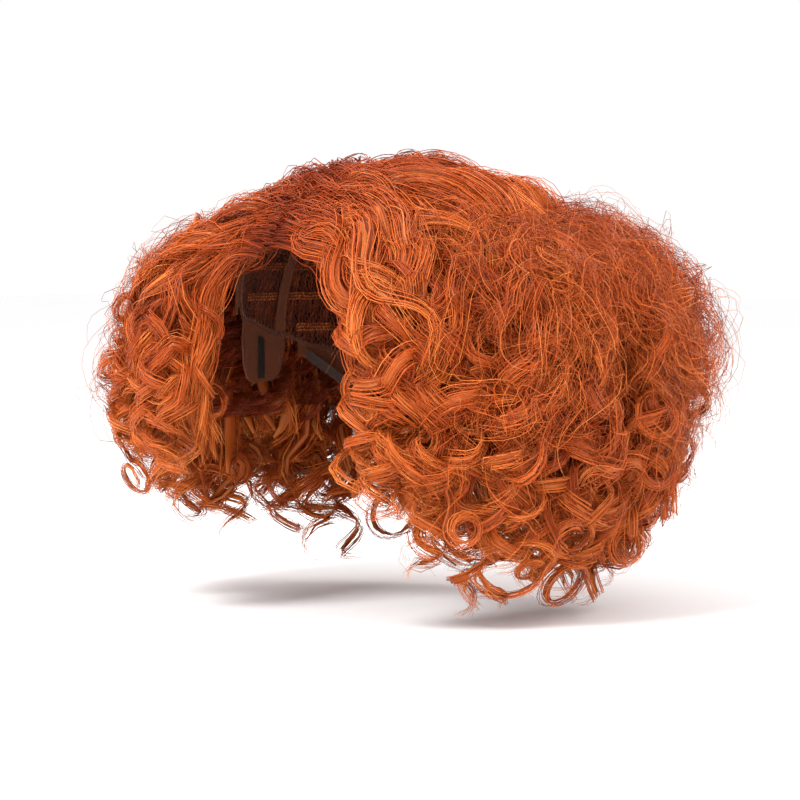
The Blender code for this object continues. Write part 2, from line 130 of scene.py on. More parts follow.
VIEW_AZIMUTH = 42.0
VIEW_ELEVATION = 3.0
VIEW_DISTANCE = 1.9
VIEW_TARGET = (0.0135, 0.0125, -0.132)
VIEW_SPAN = 0.493
LIGHTS = [
    ("key", (0.1, -1.6, 1.6), 0.7, 54), ("fill", (1.5, -1.4, 0.15), 1.2, 12),
    ("back", (0.8, 1.8, 1.2), 0.9, 18),
]
FLOOR_GAP = 0.012
FLOOR_SIZE = 16
FLOOR_COLOUR = (0.98, 0.98, 0.98)


# ---- materials ----


def add_object(name, data):
    added = bpy.data.objects.new(name, data)
    bpy.context.scene.collection.objects.link(added)
    return added


def new_material(name):
    material = bpy.data.materials.new(name)
    material.use_nodes = True
    tree = material.node_tree
    return material, tree, tree.nodes["Principled BSDF"]


def feed(tree, node, inputs):
    """Sets a node's inputs, each to a value or to another node's output."""
    for key, value in inputs.items():
        if isinstance(value, bpy.types.NodeSocket):
            tree.links.new(value, node.inputs[key])
        else:
            node.inputs[key].default_value = value


def add_node(tree, kind, inputs=None, **settings):
    node = tree.nodes.new(kind)
    for key, value in settings.items():
        setattr(node, key, value)
    feed(tree, node, inputs or {})
    return node


def maths(tree, operation, *values):
    values = dict(enumerate(values))
    return add_node(tree, "ShaderNodeMath", values, operation=operation).outputs[0]


def add_ramp(tree, stops, place):
    """Turns a number into a colour."""
    node = add_node(tree, "ShaderNodeValToRGB", {"Fac": place})
    ramp = node.color_ramp
    while len(ramp.elements) > 1:
        ramp.elements.remove(ramp.elements[-1])
    ramp.elements[0].position = stops[0][0]
    ramp.elements[0].color = (*stops[0][1], 1.0)
    for at, colour in stops[1:]:
        ramp.elements.new(at).color = (*colour, 1.0)
    return node.outputs["Color"]


def add_bump(tree, height, strength, distance):
    inputs = {"Strength": strength, "Distance": distance, "Height": height}
    return add_node(tree, "ShaderNodeBump", inputs).outputs["Normal"]


def add_noise(tree, place, **settings):
    return add_node(tree, "ShaderNodeTexNoise", {"Vector": place, **settings}).outputs["Fac"]


def add_layout(tree, name):
    return add_node(tree, "ShaderNodeUVMap", uv_map=name).outputs["UV"]


def split_axes(tree, place):
    split = add_node(tree, "ShaderNodeSeparateXYZ", {0: place})
    return split.outputs["X"], split.outputs["Y"]


def strand_material(name, stops, roughness, shades, tint=(1.0, 1.0, 1.0), specular=0.5):
    """Colour by the place along the strand, times a shade that each strand takes by chance; the
    cores' columns are darker still, painted shade for the shadowed inside of each lock.
    """
    material, tree, shader = new_material(name)
    column, along = split_axes(tree, add_layout(tree, "OFBake"))
    colour = add_ramp(tree, stops, along)
    strand = maths(tree, "SNAP", column, 1.0 / SHADES)
    chance = add_node(tree, "ShaderNodeTexWhiteNoise", {"W": strand}, noise_dimensions="1D")
    shades = [(k / (len(shades) - 1), shade) for k, shade in enumerate(shades)]
    shade = add_ramp(tree, shades, chance.outputs["Value"])
    core_end = CORE_SHADES / SHADES
    # scales the cores' columns down, painted shade for the shadowed inside of each lock; the other
    # columns stay at 1
    inner = add_node(tree, "ShaderNodeMapRange", {
        "Value": column, "From Min": core_end - 1.0, "From Max": core_end + 1.0,
        "To Min": CORE_PAINTED_SHADE, "Steps": 1.0,
    }, interpolation_type="STEPPED")
    tone = add_node(
        tree, "ShaderNodeMix", {"Factor": 1.0, "A": colour, "B": shade},
        data_type="RGBA", blend_type="MULTIPLY",
    )
    core_shaded = add_node(tree, "ShaderNodeVectorMath", {
        0: tone.outputs["Result"], "Scale": inner.outputs["Result"],
    }, operation="SCALE")
    feed(tree, shader, {
        "Base Color": core_shaded.outputs["Vector"], "Roughness": roughness,
        "Specular IOR Level": specular, "Specular Tint": (*tint, 1.0),
    })
    return material


def cloth_material(name, dark, light, rib, depth, roughness=0.85):
    """Woven cloth: ribs across its length, yarns along it, uneven dye, and a bump to match; the
    colour is darker where the weave is low, painted shade in its hollows.
    """
    material, tree, shader = new_material(name)
    place = add_layout(tree, "cloth")
    across, along = split_axes(tree, place)
    ribs, yarns = [
        maths(tree, "SINE", maths(tree, "MULTIPLY", axis, 2 * math.pi / pitch))
        for axis, pitch in ((across, rib), (along, rib * YARN_PITCH))
    ]
    fuzz = add_noise(tree, place, Scale=FUZZ_SCALE, Detail=4.0)
    weave = maths(tree, "MULTIPLY_ADD", ribs, RIB_SHARE, yarns)
    height = maths(tree, "MULTIPLY_ADD", weave, WEAVE_SHARE, fuzz)
    # the colour follows the weave's height: darker in its hollows as painted shade, and uneven with
    # the fuzz as dye
    feed(tree, shader, {
        "Base Color": add_ramp(tree, [(0.15, dark), (0.85, light)], height),
        "Normal": add_bump(tree, height, 0.7, depth), "Roughness": roughness,
        "Specular IOR Level": 0.2, "Sheen Weight": 0.10, "Sheen Tint": (*light, 1.0),
    })
    return material


def moulded_material(name, uv_map, grain, dark, light, strength, distance, roughness):
    """Plastic with a faint grain, laid out on the mesh or, with no layout named, in space."""
    material, tree, shader = new_material(name)
    if uv_map:
        place = add_layout(tree, uv_map)
    else:
        place = add_node(tree, "ShaderNodeTexCoord").outputs["Object"]
    grain = add_noise(tree, place, **grain)
    feed(tree, shader, {
        "Base Color": add_ramp(tree, [(0.3, dark), (0.7, light)], grain),
        "Normal": add_bump(tree, grain, strength, distance), "Roughness": roughness,
    })
    return material


# ---- the head and the map of the hair ----


def smooth_step(value):
    value = np.clip(value, 0.0, 1.0)
    return value * value * (3.0 - 2.0 * value)


def mix(a, b, share):
    return a + (b - a) * share


def unit(vectors):
    return vectors / np.maximum(np.linalg.norm(vectors, axis=-1, keepdims=True), 1e-9)


def join(*parts):
    """Stacks numbers that belong together, such as x, y and z, along a new last axis."""
    return np.stack(np.broadcast_arrays(*parts), axis=-1)


def square_to(axis, vectors):
    """Unit vectors for what is left of vectors without their part along an axis."""
    return unit(vectors - axis * np.sum(vectors * axis, axis=-1, keepdims=True))


def eased_table(pairs, column, steps=600, spread_by=25):
    """A finely sampled line through a table's points, its corners eased."""
    at = [row[0] for row in pairs]
    places = np.linspace(at[0], at[-1], steps)
    dense = np.interp(places, at, [row[column] for row in pairs])
    padded = np.pad(dense, spread_by, mode="reflect", reflect_type="odd")
    window = np.ones(2 * spread_by + 1) / (2 * spread_by + 1)
    return places, np.convolve(padded, window, mode="valid")


REACH_TABLE = eased_table(REACH, 1)
LIFT_TABLE = eased_table(CROWN_LIFT, 1)
OUTLINE_TABLES = [eased_table(OUTLINE, column) for column in range(1, 5)]


def girth(turn, height):
    """The head's girth at a height, as a share of its widest, tapering in to the nape."""
    drop = height / CROWN_HEIGHT + 1.0
    dome = np.sqrt(np.clip(1.0 - drop * drop, 0.0, 1.0))
    behind = smooth_step((np.degrees(np.abs(turn)) - NAPE_TAPER_TURNS[0]) / NAPE_TAPER_TURNS[1])
    depth = smooth_step((-height - CROWN_HEIGHT) / NAPE_TAPER_DEPTH)
    return np.where(drop >= 0.0, dome, 1.0 - NAPE_TAPER * behind * depth)


def head_radius(turn, height):
    across = np.sin(turn) / HALF_BREADTH
    along = np.cos(turn) / HALF_LENGTH
    return girth(turn, height) / np.hypot(across, along)


def around(turn, radius, height):
    return join(radius * np.sin(turn), -radius * np.cos(turn), height)


def lumps(places):
    """The hair's uneven fullness over the map, as shares of its depth."""
    x, y = places[..., 0], places[..., 1]
    broad = np.sin(7.0 * x + 2.0 * y + 0.6) * np.sin(6.0 * y - 3.0 * x + 2.1)
    fine = np.sin(15.0 * x - 8.0 * y + 1.0) * np.sin(13.0 * y + 7.0 * x + 0.4)
    total = (0.65 * broad + 0.45 * fine) * LUMPS / 2
    for turn, far, amount, size in SWELLS:
        middle = on_map(turn, far)
        total = total + amount * np.exp(-((x - middle[0]) ** 2 + (y - middle[1]) ** 2) / size ** 2)
    return total


def map_place(places, depth):
    """Points in space of places on the map, from the cap (depth 0) to the outside (1)."""
    depth = depth * (1.0 + lumps(places))
    turn = np.arctan2(places[..., 0], -places[..., 1])
    far = np.hypot(places[..., 0], places[..., 1])
    share, outer_height, inner_height, lift = [np.interp(far, *table) for table in OUTLINE_TABLES]
    outer_radius = share * np.interp(np.degrees(np.abs(turn)), *REACH_TABLE)
    low, high = CROWN_LIFT_FADE
    fade = smooth_step((outer_height - low) / (high - low)) * smooth_step(share * 4)
    outer_height = outer_height + np.interp(np.degrees(np.abs(turn)), *LIFT_TABLE) * fade
    level = np.maximum(inner_height, -CROWN_HEIGHT)
    lean = np.arccos(np.clip(level / CROWN_HEIGHT + 1.0, -1.0, 1.0))
    inner_radius = head_radius(turn, level) + lift * np.sin(lean)
    inner_height = inner_height + lift * np.cos(lean)
    inner = around(turn, inner_radius, inner_height)
    outer = around(turn, outer_radius, outer_height)
    return inner + (outer - inner) * depth[..., None], unit(outer - inner)


def on_map(turn_degrees, far):
    turn = np.radians(turn_degrees)
    return join(far * np.sin(turn), -far * np.cos(turn))


# ---- tubes, and the meshes made of them ----

# shades to choose from, the first of them for the locks' cores, and how dark the cores are: painted
# shade for the shadowed inside of each lock
SHADES = 64
CORE_SHADES = 12
CORE_PAINTED_SHADE = 0.66
STRAND_SECTION = np.array([(-1.0, -0.5), (1.0, -0.5), (0.0, 1.0)])
CORE_SIDES = 8


def tubes(paths, outward, wide, thick, section):
    """Corners (n, s, k, 3) of tubes along paths (n, s, 3), wide and thick (n, s)."""
    along = unit(np.gradient(paths, axis=1))
    side = unit(np.cross(along, outward))
    up = np.cross(side, along)
    a = section[..., 0] * (wide / 2)[..., None]
    b = section[..., 1] * (thick / 2)[..., None]
    return paths[:, :, None] + side[:, :, None] * a[..., None] + up[:, :, None] * b[..., None]


class Bundle:
    """Gathers tubes for one mesh. Each side of a tube takes its shade from a column."""

    def __init__(self):
        self.tubes = []

    def add(self, corners, columns, along=(0.01, 0.99)):
        columns = np.broadcast_to(columns, (corners.shape[0], corners.shape[2]))
        self.tubes.append((corners, columns, along))

    def arrays(self):
        """The points, and each face's corners, size, and place in the layout."""
        points, corners, sizes, layout = [], [], [], []
        base = 0
        for tube, columns, (first, last) in self.tubes:
            count, samples, sides = tube.shape[:3]
            ring = base + np.arange(count * samples * sides).reshape(count, samples, sides)
            after = np.roll(ring, -1, axis=2)
            quads = join(ring[:, :-1], ring[:, 1:], after[:, 1:], after[:, :-1])
            v = np.linspace(first, last, samples)
            v = join(v[:-1], v[1:], v[1:], v[:-1])[None, :, None]
            u = (columns[:, None, :, None] + np.array([0.2, 0.2, 0.8, 0.8])) / SHADES
            layout.append(join(u, v).reshape(-1, 2))
            ends = np.stack([ring[:, 0, :], ring[:, -1, ::-1]], axis=1)
            spots = np.linspace(0, 2 * np.pi, sides, endpoint=False)
            u = (columns[:, None, :1] + 0.5 + 0.3 * np.cos(spots)) / SHADES
            v = np.array([first, last])[None, :, None] + 0.004 * np.sin(spots)
            layout.append(join(u, v).reshape(-1, 2))
            points.append(tube.reshape(-1, 3))
            corners += [quads.ravel(), ends.ravel()]
            sizes += [np.full(quads.size // 4, 4), np.full(2 * count, sides)]
            base += count * samples * sides
        return [np.concatenate(part) for part in (points, corners, sizes, layout)]


def make_object(name, points, corners, sizes, layouts, material):
    """An object from points, each face's corners and size, and the corners' places in layouts."""
    mesh = bpy.data.meshes.new(name)
    mesh.vertices.add(len(points))
    mesh.vertices.foreach_set("co", points.astype(np.float32).ravel())
    mesh.loops.add(len(corners))
    mesh.loops.foreach_set("vertex_index", corners.astype(np.int32))
    mesh.polygons.add(len(sizes))
    mesh.polygons.foreach_set("loop_start", (np.cumsum(sizes) - sizes).astype(np.int32))
    mesh.update(calc_edges=True)
    for layer, places in layouts.items():
        mesh.uv_layers.new(name=layer).data.foreach_set("uv", places.astype(np.float32).ravel())
    mesh.shade_smooth()
    mesh.materials.append(material)
    return add_object(name, mesh)


# ---- locks of hair ----

NOISE_WAVES = (0.9, 1.9, 3.0)
LINE_SAMPLES = 120
# how wide a lock is at its root, and its curls' pitch there against the pitch along it
ROOT_WIDTH = 0.6
ROOT_PITCH = 1.2
# a core: how far under the strands it lies, where it starts and ends along the lock, how deep
# its grooves and ridges are, and its width and thickness against the lock's
CORE_SINK = 0.0010
CORE_ENDS = (0.015, 0.95)
CORE_GROOVE = 0.14
CORE_RIDGE = 0.10
CORE_SIZE = (0.54, 0.50)
# a ring: where it starts along its lock, how many turns it makes, how far it climbs in one
# radian, how much it closes in, and how far its flat side turns to face out from its middle
RING_FROM = (0.46, 0.58)
RING_TURNS = (1.0, 1.5)
RING_CLIMB = 0.0009
RING_SHRINK = 0.3
RING_FACING = 0.6
# a strand: how far it strays from its lock, how much of its shade is the lock's, the most that
# it starts late and ends early, its thickness against its width, and where and how it tapers
STRAY = 0.12
LOCK_SHADE = 0.45
STRAND_LATE = 0.05
STRAND_EARLY = 0.35
STRAND_FLAT = 0.7
STRAND_TAPER = 0.12
STRAND_TIP = 0.3


def spread(rng, low_high, count):
    return rng.uniform(*low_high, count)


def soft_noise(rng, shape, samples):
    """Soft random wandering along each strand, (*shape, samples) with a middle of 0."""
    t = np.linspace(0, 1, samples)
    total = np.zeros((*shape, samples))
    for k, wave in enumerate(NOISE_WAVES):
        phase = rng.uniform(0, 2 * np.pi, (*shape, 1))
        pace = rng.uniform(0.7, 1.3, (*shape, 1)) * wave
        total += np.sin(2 * np.pi * pace * t + phase) * rng.normal(0, 1, (*shape, 1)) / (k + 1)
    return total


def wander(rng, count, samples, size):
    return np.moveaxis(soft_noise(rng, (count, 3), samples), 1, 2) * size


def lock_lines(rng, style, roots, bends, tips):
    """Centre lines of locks, (n, m, 3), with the directions that their flat sides face."""
    count = len(roots)

    def pick(key):
        return spread(rng, style[key], count)[:, None]

    t = np.linspace(0, 1, LINE_SAMPLES)[None, :]
    u = t[..., None]
    a, b, c = roots[:, None, :], bends[:, None, :], tips[:, None, :]
    places = (1 - u) ** 2 * a + 2 * u * (1 - u) * b + u * u * c
    full_depth, root_depth = pick("depth"), pick("root_depth")
    depth = mix(root_depth, full_depth, smooth_step(t / style["rise"]))
    start = pick("curl_from")
    radius = pick("curl") * smooth_step((t - start) / style["curl_grow"])
    radius = radius + style["root_wave"] * smooth_step(t * 4)
    flat = pick("flat")
    points, outward = map_place(places, depth)
    points = points - outward * (radius * flat)[..., None]
    loose = wander(rng, count, LINE_SAMPLES, style["wander"])
    points = points + loose * smooth_step(t * 2)[..., None]
    steps = np.linalg.norm(np.diff(points, axis=1, prepend=points[:, :1]), axis=-1)
    pitch = pick("pitch") * mix(ROOT_PITCH, style["tighten"], t)
    order = style["order"]
    hand = np.where(rng.random(count) < 0.5 + order, 1.0, -1.0)[:, None]
    phase = (1.0 - order) * rng.uniform(-np.pi, np.pi, (count, 1))
    phase = phase + hand * 2 * np.pi * np.cumsum(steps / pitch, axis=1)
    along = unit(np.gradient(points, axis=1))
    normal = square_to(along, outward)
    binormal = np.cross(along, normal)
    inward = (np.cos(phase) * flat)[..., None] * normal
    radial = inward + np.sin(phase)[..., None] * binormal
    share = (flat * radius / (radius + 0.003))[..., None]
    lines, facing = points + radial * radius[..., None], unit(normal * (1 - share) + radial * share)
    if style["rings"]:
        return coil_tips(rng, style, lines, facing, outward)
    return lines, facing


def coil_tips(rng, style, lines, facing, outward):
    """Rolls the end of each lock up into a ring that lies against the hair."""
    count = len(lines)
    lock = np.arange(count)
    first = (spread(rng, RING_FROM, count) * LINE_SAMPLES).astype(int)
    along = unit(lines[lock, first] - lines[lock, first - 2])
    out = square_to(along, outward[lock, first])
    lean = rng.uniform(0.0, 1.0, (count, 1))
    side = unit(np.cross(along, out) * rng.choice([-1.0, 1.0], (count, 1)) - out * lean)
    out = square_to(side, out)
    place = np.arange(LINE_SAMPLES)[None, :]
    share = np.clip((place - first[:, None]) / (LINE_SAMPLES - 1 - first[:, None]), 0, 1)
    angle = (share * spread(rng, RING_TURNS, count)[:, None] * 2 * np.pi)[..., None]
    radius = spread(rng, style["rings"], count)[:, None] * (1 - RING_SHRINK * share)
    radius = radius[..., None]
    roll = radius * (np.sin(angle) * along[:, None] + (1 - np.cos(angle)) * side[:, None])
    roll = roll + out[:, None] * angle * RING_CLIMB
    spoke = unit(np.sin(angle) * along[:, None] - np.cos(angle) * side[:, None])
    turned = mix(facing, spoke, RING_FACING * smooth_step(share * 4)[..., None])
    later = (place > first[:, None])[..., None]
    curled = np.where(later, lines[lock, first][:, None] + roll, lines)
    return curled, unit(np.where(later, turned, facing))


def read_lines(lines, lock, t):
    """Places part of the way (t) along the lines of the locks that are named by number."""
    place = t * (lines.shape[1] - 1.001)
    low = place.astype(int)
    part = (place - low)[..., None]
    return lines[lock, low] * (1 - part) + lines[lock, low + 1] * part


def lock_swell(style, t):
    """How full a lock is along its length: gathered at the root, pointed at the tip."""
    root = mix(ROOT_WIDTH, 1.0, smooth_step(t * 3))
    return root * mix(1.0, style["tip_width"], smooth_step(t * 2.5 - 1.5))


def add_cores(bundle, rng, style, lines, facing, wide, thick):
    """The closed, grooved middle of each lock."""
    count = len(lines)
    samples = style["core_samples"]
    t = np.tile(np.linspace(*CORE_ENDS, samples), (count, 1))
    lock = np.arange(count)[:, None]
    paths = read_lines(lines, lock, t)
    outward = unit(read_lines(facing, lock, t))
    paths = paths - outward * (thick[:, None, None] * 0.5 + CORE_SINK)
    spots = np.linspace(0, 2 * np.pi, CORE_SIDES, endpoint=False)
    groove = 1.0 - CORE_GROOVE * (1 + np.cos(np.arange(CORE_SIDES) * np.pi)) / 2
    ridges = soft_noise(rng, (count, CORE_SIDES), samples)
    ridges = groove + CORE_RIDGE * np.moveaxis(ridges, 1, 2)
    section = join(np.cos(spots) * ridges, np.sin(spots) * ridges)
    swell = lock_swell(style, t) * mix(0.25, 1.0, smooth_step((1 - t) / 0.15))
    swell = swell * mix(0.2, 1.0, smooth_step(t / 0.25))
    wide, thick = [size[:, None] * swell * k for size, k in zip((wide, thick), CORE_SIZE)]
    corners = tubes(paths, outward, wide, thick, section)
    # the cores take the first columns, which the hair material darkens as painted shade
    bundle.add(corners, rng.integers(0, CORE_SHADES, (count, CORE_SIDES)))


def add_strands(bundle, rng, style, lines, facing, wide, thick, tones):
    """The loose strands that lie over and round each lock."""
    count = len(lines) * style["fibres"]
    samples = style["samples"]
    lock = np.repeat(np.arange(len(lines)), style["fibres"])
    begin = rng.uniform(0.0, STRAND_LATE, count)
    end = 1.0 - np.abs(rng.normal(0, style["ragged"], count)).clip(0, STRAND_EARLY)
    pace = 1.0 - np.linspace(1, 0, samples) ** style["pace"]
    t = begin[:, None] + (end - begin)[:, None] * pace[None, :]
    middle = read_lines(lines, lock[:, None], t)
    out = unit(read_lines(facing, lock[:, None], t))
    along = unit(np.gradient(middle, axis=1))
    side = unit(np.cross(along, out))
    swell = lock_swell(style, t)
    spot = np.arcsin(rng.uniform(-1, 1, count))[:, None]
    spot = spot + rng.normal(0, style["twist"], count)[:, None] * t
    stray = rng.normal(0, STRAY, count)[:, None]
    a = (np.sin(spot) / 2 + stray) * wide[lock][:, None] * swell
    b = rng.normal(0.1, 0.7, count)[:, None] * thick[lock][:, None] * swell
    points = middle + side * a[..., None] + out * b[..., None]
    loose = wander(rng, count, samples, style["frizz"])
    points = points + loose * mix(0.4, 1.0, t)[..., None]
    taper = smooth_step(np.linspace(1, 0, samples)[None, :] / STRAND_TAPER)
    taper = mix(STRAND_TIP, 1.0, taper)
    width = style["strand"] * rng.uniform(0.75, 1.3, count)[:, None] * taper
    chance = LOCK_SHADE * tones[lock] + (1 - LOCK_SHADE) * rng.random(count)
    corners = tubes(points, out, width, width * STRAND_FLAT, STRAND_SECTION)
    bundle.add(corners, CORE_SHADES + np.floor(chance * (SHADES - CORE_SHADES) * 0.999)[:, None])


def grow(bundle, seed, style, places):
    """Adds one lock for each root, bend and tip on the map."""
    rng = default_rng(seed)
    lines, facing = lock_lines(rng, style, *places)
    count = len(lines)
    wide, thick = spread(rng, style["width"], count), spread(rng, style["thick"], count)
    tones = rng.random(count)
    if style["core_samples"]:
        add_cores(bundle, rng, style, lines, facing, wide, thick)
    if style["fibres"]:
        add_strands(bundle, rng, style, lines, facing, wide, thick, tones)


# kinds of lock: numbers of strands and samples, then, in metres or as shares, ranges and amounts
CURLY = dict(
    fibres=20, samples=32, core_samples=26, depth=(0.66, 0.99), root_depth=(0.0, 0.1), rise=0.30,
    width=(0.006, 0.012), thick=(0.0010, 0.0022), tip_width=0.4, curl=(0.006, 0.012),
    curl_from=(0.10, 0.35), curl_grow=0.45, root_wave=0.0, flat=(0.45, 0.95),
    pitch=(0.036, 0.056), tighten=0.75, order=0.0, wander=0.004, strand=0.00042, frizz=0.0011,
    ragged=0.07, twist=1.0, pace=1.15, rings=None,
)
FILL = dict(
    CURLY, fibres=14, samples=12, core_samples=12, depth=(0.30, 0.66), width=(0.014, 0.022),
    thick=(0.003, 0.005), curl=(0.005, 0.009), pitch=(0.13, 0.18), wander=0.006, strand=0.00065,
)
FRIZZY = dict(
    CURLY, fibres=15, samples=28, core_samples=0, depth=(0.86, 1.03), width=(0.014, 0.026),
    thick=(0.003, 0.007), pitch=(0.05, 0.08), frizz=0.0026, strand=0.00034, wander=0.006,
    twist=2.0, ragged=0.15,
)
FLYAWAY = dict(
    FRIZZY, fibres=3, samples=20, depth=(0.92, 1.07), width=(0.006, 0.016), strand=0.00028,
    curl=(0.008, 0.014), pitch=(0.09, 0.14), curl_from=(0.0, 0.2), ragged=0.2,
)
SWEEP = dict(
    CURLY, fibres=22, samples=33, core_samples=22, depth=(0.52, 0.97), root_depth=(0.0, 0.12),
    rise=0.14, width=(0.012, 0.024), thick=(0.0016, 0.0030), curl=(0.004, 0.011),
    curl_from=(0.40, 0.60), root_wave=0.0062, flat=(0.35, 0.85), pitch=(0.10, 0.14),
    tighten=0.65, order=0.25, frizz=0.0010, wander=0.005, twist=0.6, strand=0.00056,
)
EDGE = dict(
    SWEEP, depth=(0.18, 0.50), root_depth=(0.05, 0.3), width=(0.010, 0.018),
    curl=(0.003, 0.007), root_wave=0.0015, wander=0.002,
)
RINGLET = dict(
    CURLY, fibres=17, samples=36, core_samples=30, depth=(0.68, 1.0), curl=(0.009, 0.014),
    curl_from=(0.0, 0.15), curl_grow=0.35, flat=(0.6, 1.0), pitch=(0.034, 0.050), tighten=0.62,
    frizz=0.0008, wander=0.003, ragged=0.03, tip_width=0.6, strand=0.00046,
)
RING = dict(
    RINGLET, fibres=16, samples=44, core_samples=36, depth=(0.80, 1.02), width=(0.004, 0.009),
    thick=(0.001, 0.002), curl=(0.004, 0.008), pitch=(0.05, 0.08), pace=1.0,
    rings=(0.009, 0.017), tip_width=0.5,
)
TENDRIL = dict(
    RINGLET, fibres=12, width=(0.003, 0.005), thick=(0.0010, 0.0018), curl=(0.005, 0.009),
    depth=(0.25, 0.6), pitch=(0.035, 0.05), ragged=0.05,
)


def fan(rng, count, turns, near, far, twist=6.0, lean=0.0):
    """Roots, bends and tips of locks that hang within a range of turns."""
    turn = spread(rng, turns, count)
    near_far = spread(rng, near, count)
    tip_far = spread(rng, far, count)
    tip_turn = turn + lean + rng.normal(0, twist, count)
    bend_turn = (turn + tip_turn) / 2 + rng.normal(0, twist, count)
    bend = on_map(bend_turn, (near_far + tip_far) / 2)
    return on_map(turn, near_far), bend, on_map(tip_turn, tip_far)


def parted(rng, count, along, tips, far, side, swing=0.9, over=0.03):
    """Locks that leave the parting on one side, in order from the face to the back of the head."""
    p = spread(rng, along, count)
    across = PARTING + side * rng.uniform(-over, 0.03, count)
    roots = join(across, mix(*PARTING_ENDS, p))
    turn = side * (np.interp(p, along, tips) + rng.normal(0, 3, count))
    ends = on_map(turn, spread(rng, far, count))
    out = on_map(side * np.interp(p, (0, 0.5, 1), SWING_TURNS), 0.24)
    return roots, roots + out * swing, ends


def edging(rng, count, places, jitter=0.02):
    """Roots, bends and tips of locks that follow the hairline from the parting to the cheek."""
    return [np.array(place) + rng.normal(0, jitter, (count, 2)) for place in places]


def finish_piece(name, bundle, material, *nodes, slot="hair"):
    """Turns gathered strands into one object, which stands for the CAD nodes named."""
    *shape, layout = bundle.arrays()
    piece = make_object(name, *shape, {"OFBake": layout}, material)
    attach(piece, CAP)
    if nodes:
        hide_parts(*nodes)


def add_waves(name, rng, seed, count, place, ends, side, swing, copper):
    """Waved locks over a fill, both out of one stretch of the parting."""
    waves = Bundle()
    grow(waves, seed, FILL, parted(rng, count, *place, ends[0], side, swing))
    grow(waves, seed + 1, SWEEP, parted(rng, 34, *place, ends[1], side, swing, 0.12))
    finish_piece(name + "_locks", waves, copper, name)


def add_sweeps(copper):
    """The waved hair that falls from the parting to both sides."""
    along = (0.04, 0.26)
    for side, word in SIDES:
        seed = 200 + 50 * side
        rng = default_rng(seed)
        front = Bundle()
        if side > 0:
            tips, face = (47, 66), ((-0.01, -0.45), (0.36, -0.42), (0.62, -0.58))
        else:
            tips, face = (30, 60), ((-0.04, -0.45), (-0.26, -0.43), (-0.31, -0.78))
        grow(front, seed + 1, FILL, parted(rng, 8, along, tips, (0.55, 0.68), side))
        grow(front, seed + 2, EDGE, edging(rng, 12, face))
        grow(front, seed + 3, SWEEP, parted(rng, 22, along, tips, (0.62, 0.80), side, 1.1, 0.06))
        name = "hair_front_sweep_" + word
        nodes = [name, "hair_fringe_left"] if side > 0 else [name]
        finish_piece(name + "_locks", front, copper, *nodes)
        place = ((0.22, 0.52), (58, 108))
        ends = ((0.50, 0.62), (0.58, 0.76))
        add_waves("hair_side_sweep_" + word, rng, seed + 4, 12, place, ends, side, 0.9, copper)


def add_crown(copper):
    """The waved hair that falls back from the parting."""
    ends = ((0.50, 0.60), (0.55, 0.72))
    for side, word in SIDES:
        seed = 400 + 50 * side
        rng = default_rng(seed)
        place = ((0.48, 0.86), (102, 160))
        add_waves("hair_crown_back_" + word, rng, seed + 1, 10, place, ends, side, 0.8, copper)
    rng = default_rng(480)
    back = Bundle()
    along = (0.82, 1.0)
    grow(back, 481, FILL, parted(rng, 6, along, (155, 186), ends[0], 1, 0.7))
    for seed, last, side in ((482, 186, 1), (483, 180, -1)):
        grow(back, seed, SWEEP, parted(rng, 17, along, (155, last), ends[1], side, 0.7, 0.1))
    finish_piece("hair_crown_back_locks", back, copper, "hair_crown_back")


# groups round the head: name, first and last turn, and how low the hem falls there
BODIES = [
    ("side_front_left", 64, 100), ("side_rear_left", 97, 133), ("back_left", 130, 166),
    ("back_center", 162, 198), ("back_right", 194, 230), ("side_rear_right", 226, 262),
    ("side_front_right", 260, 296),
]
HEMS = [
    ("ear_left", 60, 94, 1.01), ("side_left", 90, 120, 1.0), ("corner_left", 115, 145, 1.0),
    ("nape_left", 141, 171, 1.0), ("nape_center", 166, 194, 1.0), ("nape_right", 189, 219, 1.0),
    ("corner_right", 215, 245, 0.98), ("side_right", 240, 270, 0.95), ("ear_right", 266, 298, 0.93),
]
# locks of a group: first seed, kind, how many, where they start and end, how far they stray
BODY_CURLS = [
    (510, FILL, 18, (0.36, 0.50), (0.62, 0.84), 6),
    (520, CURLY, 26, (0.36, 0.54), (0.66, 0.88), 8),
    (525, RING, 4, (0.46, 0.62), (0.92, 1.02), 4),
]
BODY_FRIZZ = [
    (530, FRIZZY, 24, (0.36, 0.60), (0.60, 0.84), 14),
    (535, FRIZZY, 5, (0.56, 0.74), (0.78, 0.92), 14),
    (540, FLYAWAY, 70, (0.34, 0.66), (0.50, 0.88), 20),
]
HEM_CURLS = [
    (610, FILL, 12, (0.60, 0.70), (0.82, 0.96), 6),
    (620, RINGLET, 25, (0.62, 0.80), (0.88, 1.01), 6),
    (625, RING, 9, (0.68, 0.80), (1.0, 1.12), 4),
    (630, FLYAWAY, 30, (0.66, 0.80), (0.84, 0.98), 12),
]


def add_group(name, rng, turns, locks, step, copper, *nodes, fall=1.0):
    """One piece of a group's locks; a fall under 1 ends them higher up."""
    group = Bundle()
    for seed, style, count, near, far, twist in locks:
        far = [end * fall for end in far]
        grow(group, seed + step, style, fan(rng, count, turns, near, far, twist))
    finish_piece(name, group, copper, *nodes)


def add_body(copper):
    """The teased mass of curls round the sides and the back."""
    for k, (word, *turns) in enumerate(BODIES):
        rng = default_rng(500 + k)
        name = "hair_" + word
        add_group(name + "_curls", rng, turns, BODY_CURLS, k, copper, name)
        add_group(name + "_frizz", rng, turns, BODY_FRIZZ, k, copper)


def add_hem(copper):
    """The ringlets round the lower edge."""
    for k, (word, *turns, fall) in enumerate(HEMS):
        name = "hair_ringlets_" + word
        rng = default_rng(600 + k)
        add_group(name + "_curls", rng, turns, HEM_CURLS, k, copper, name, fall=fall)


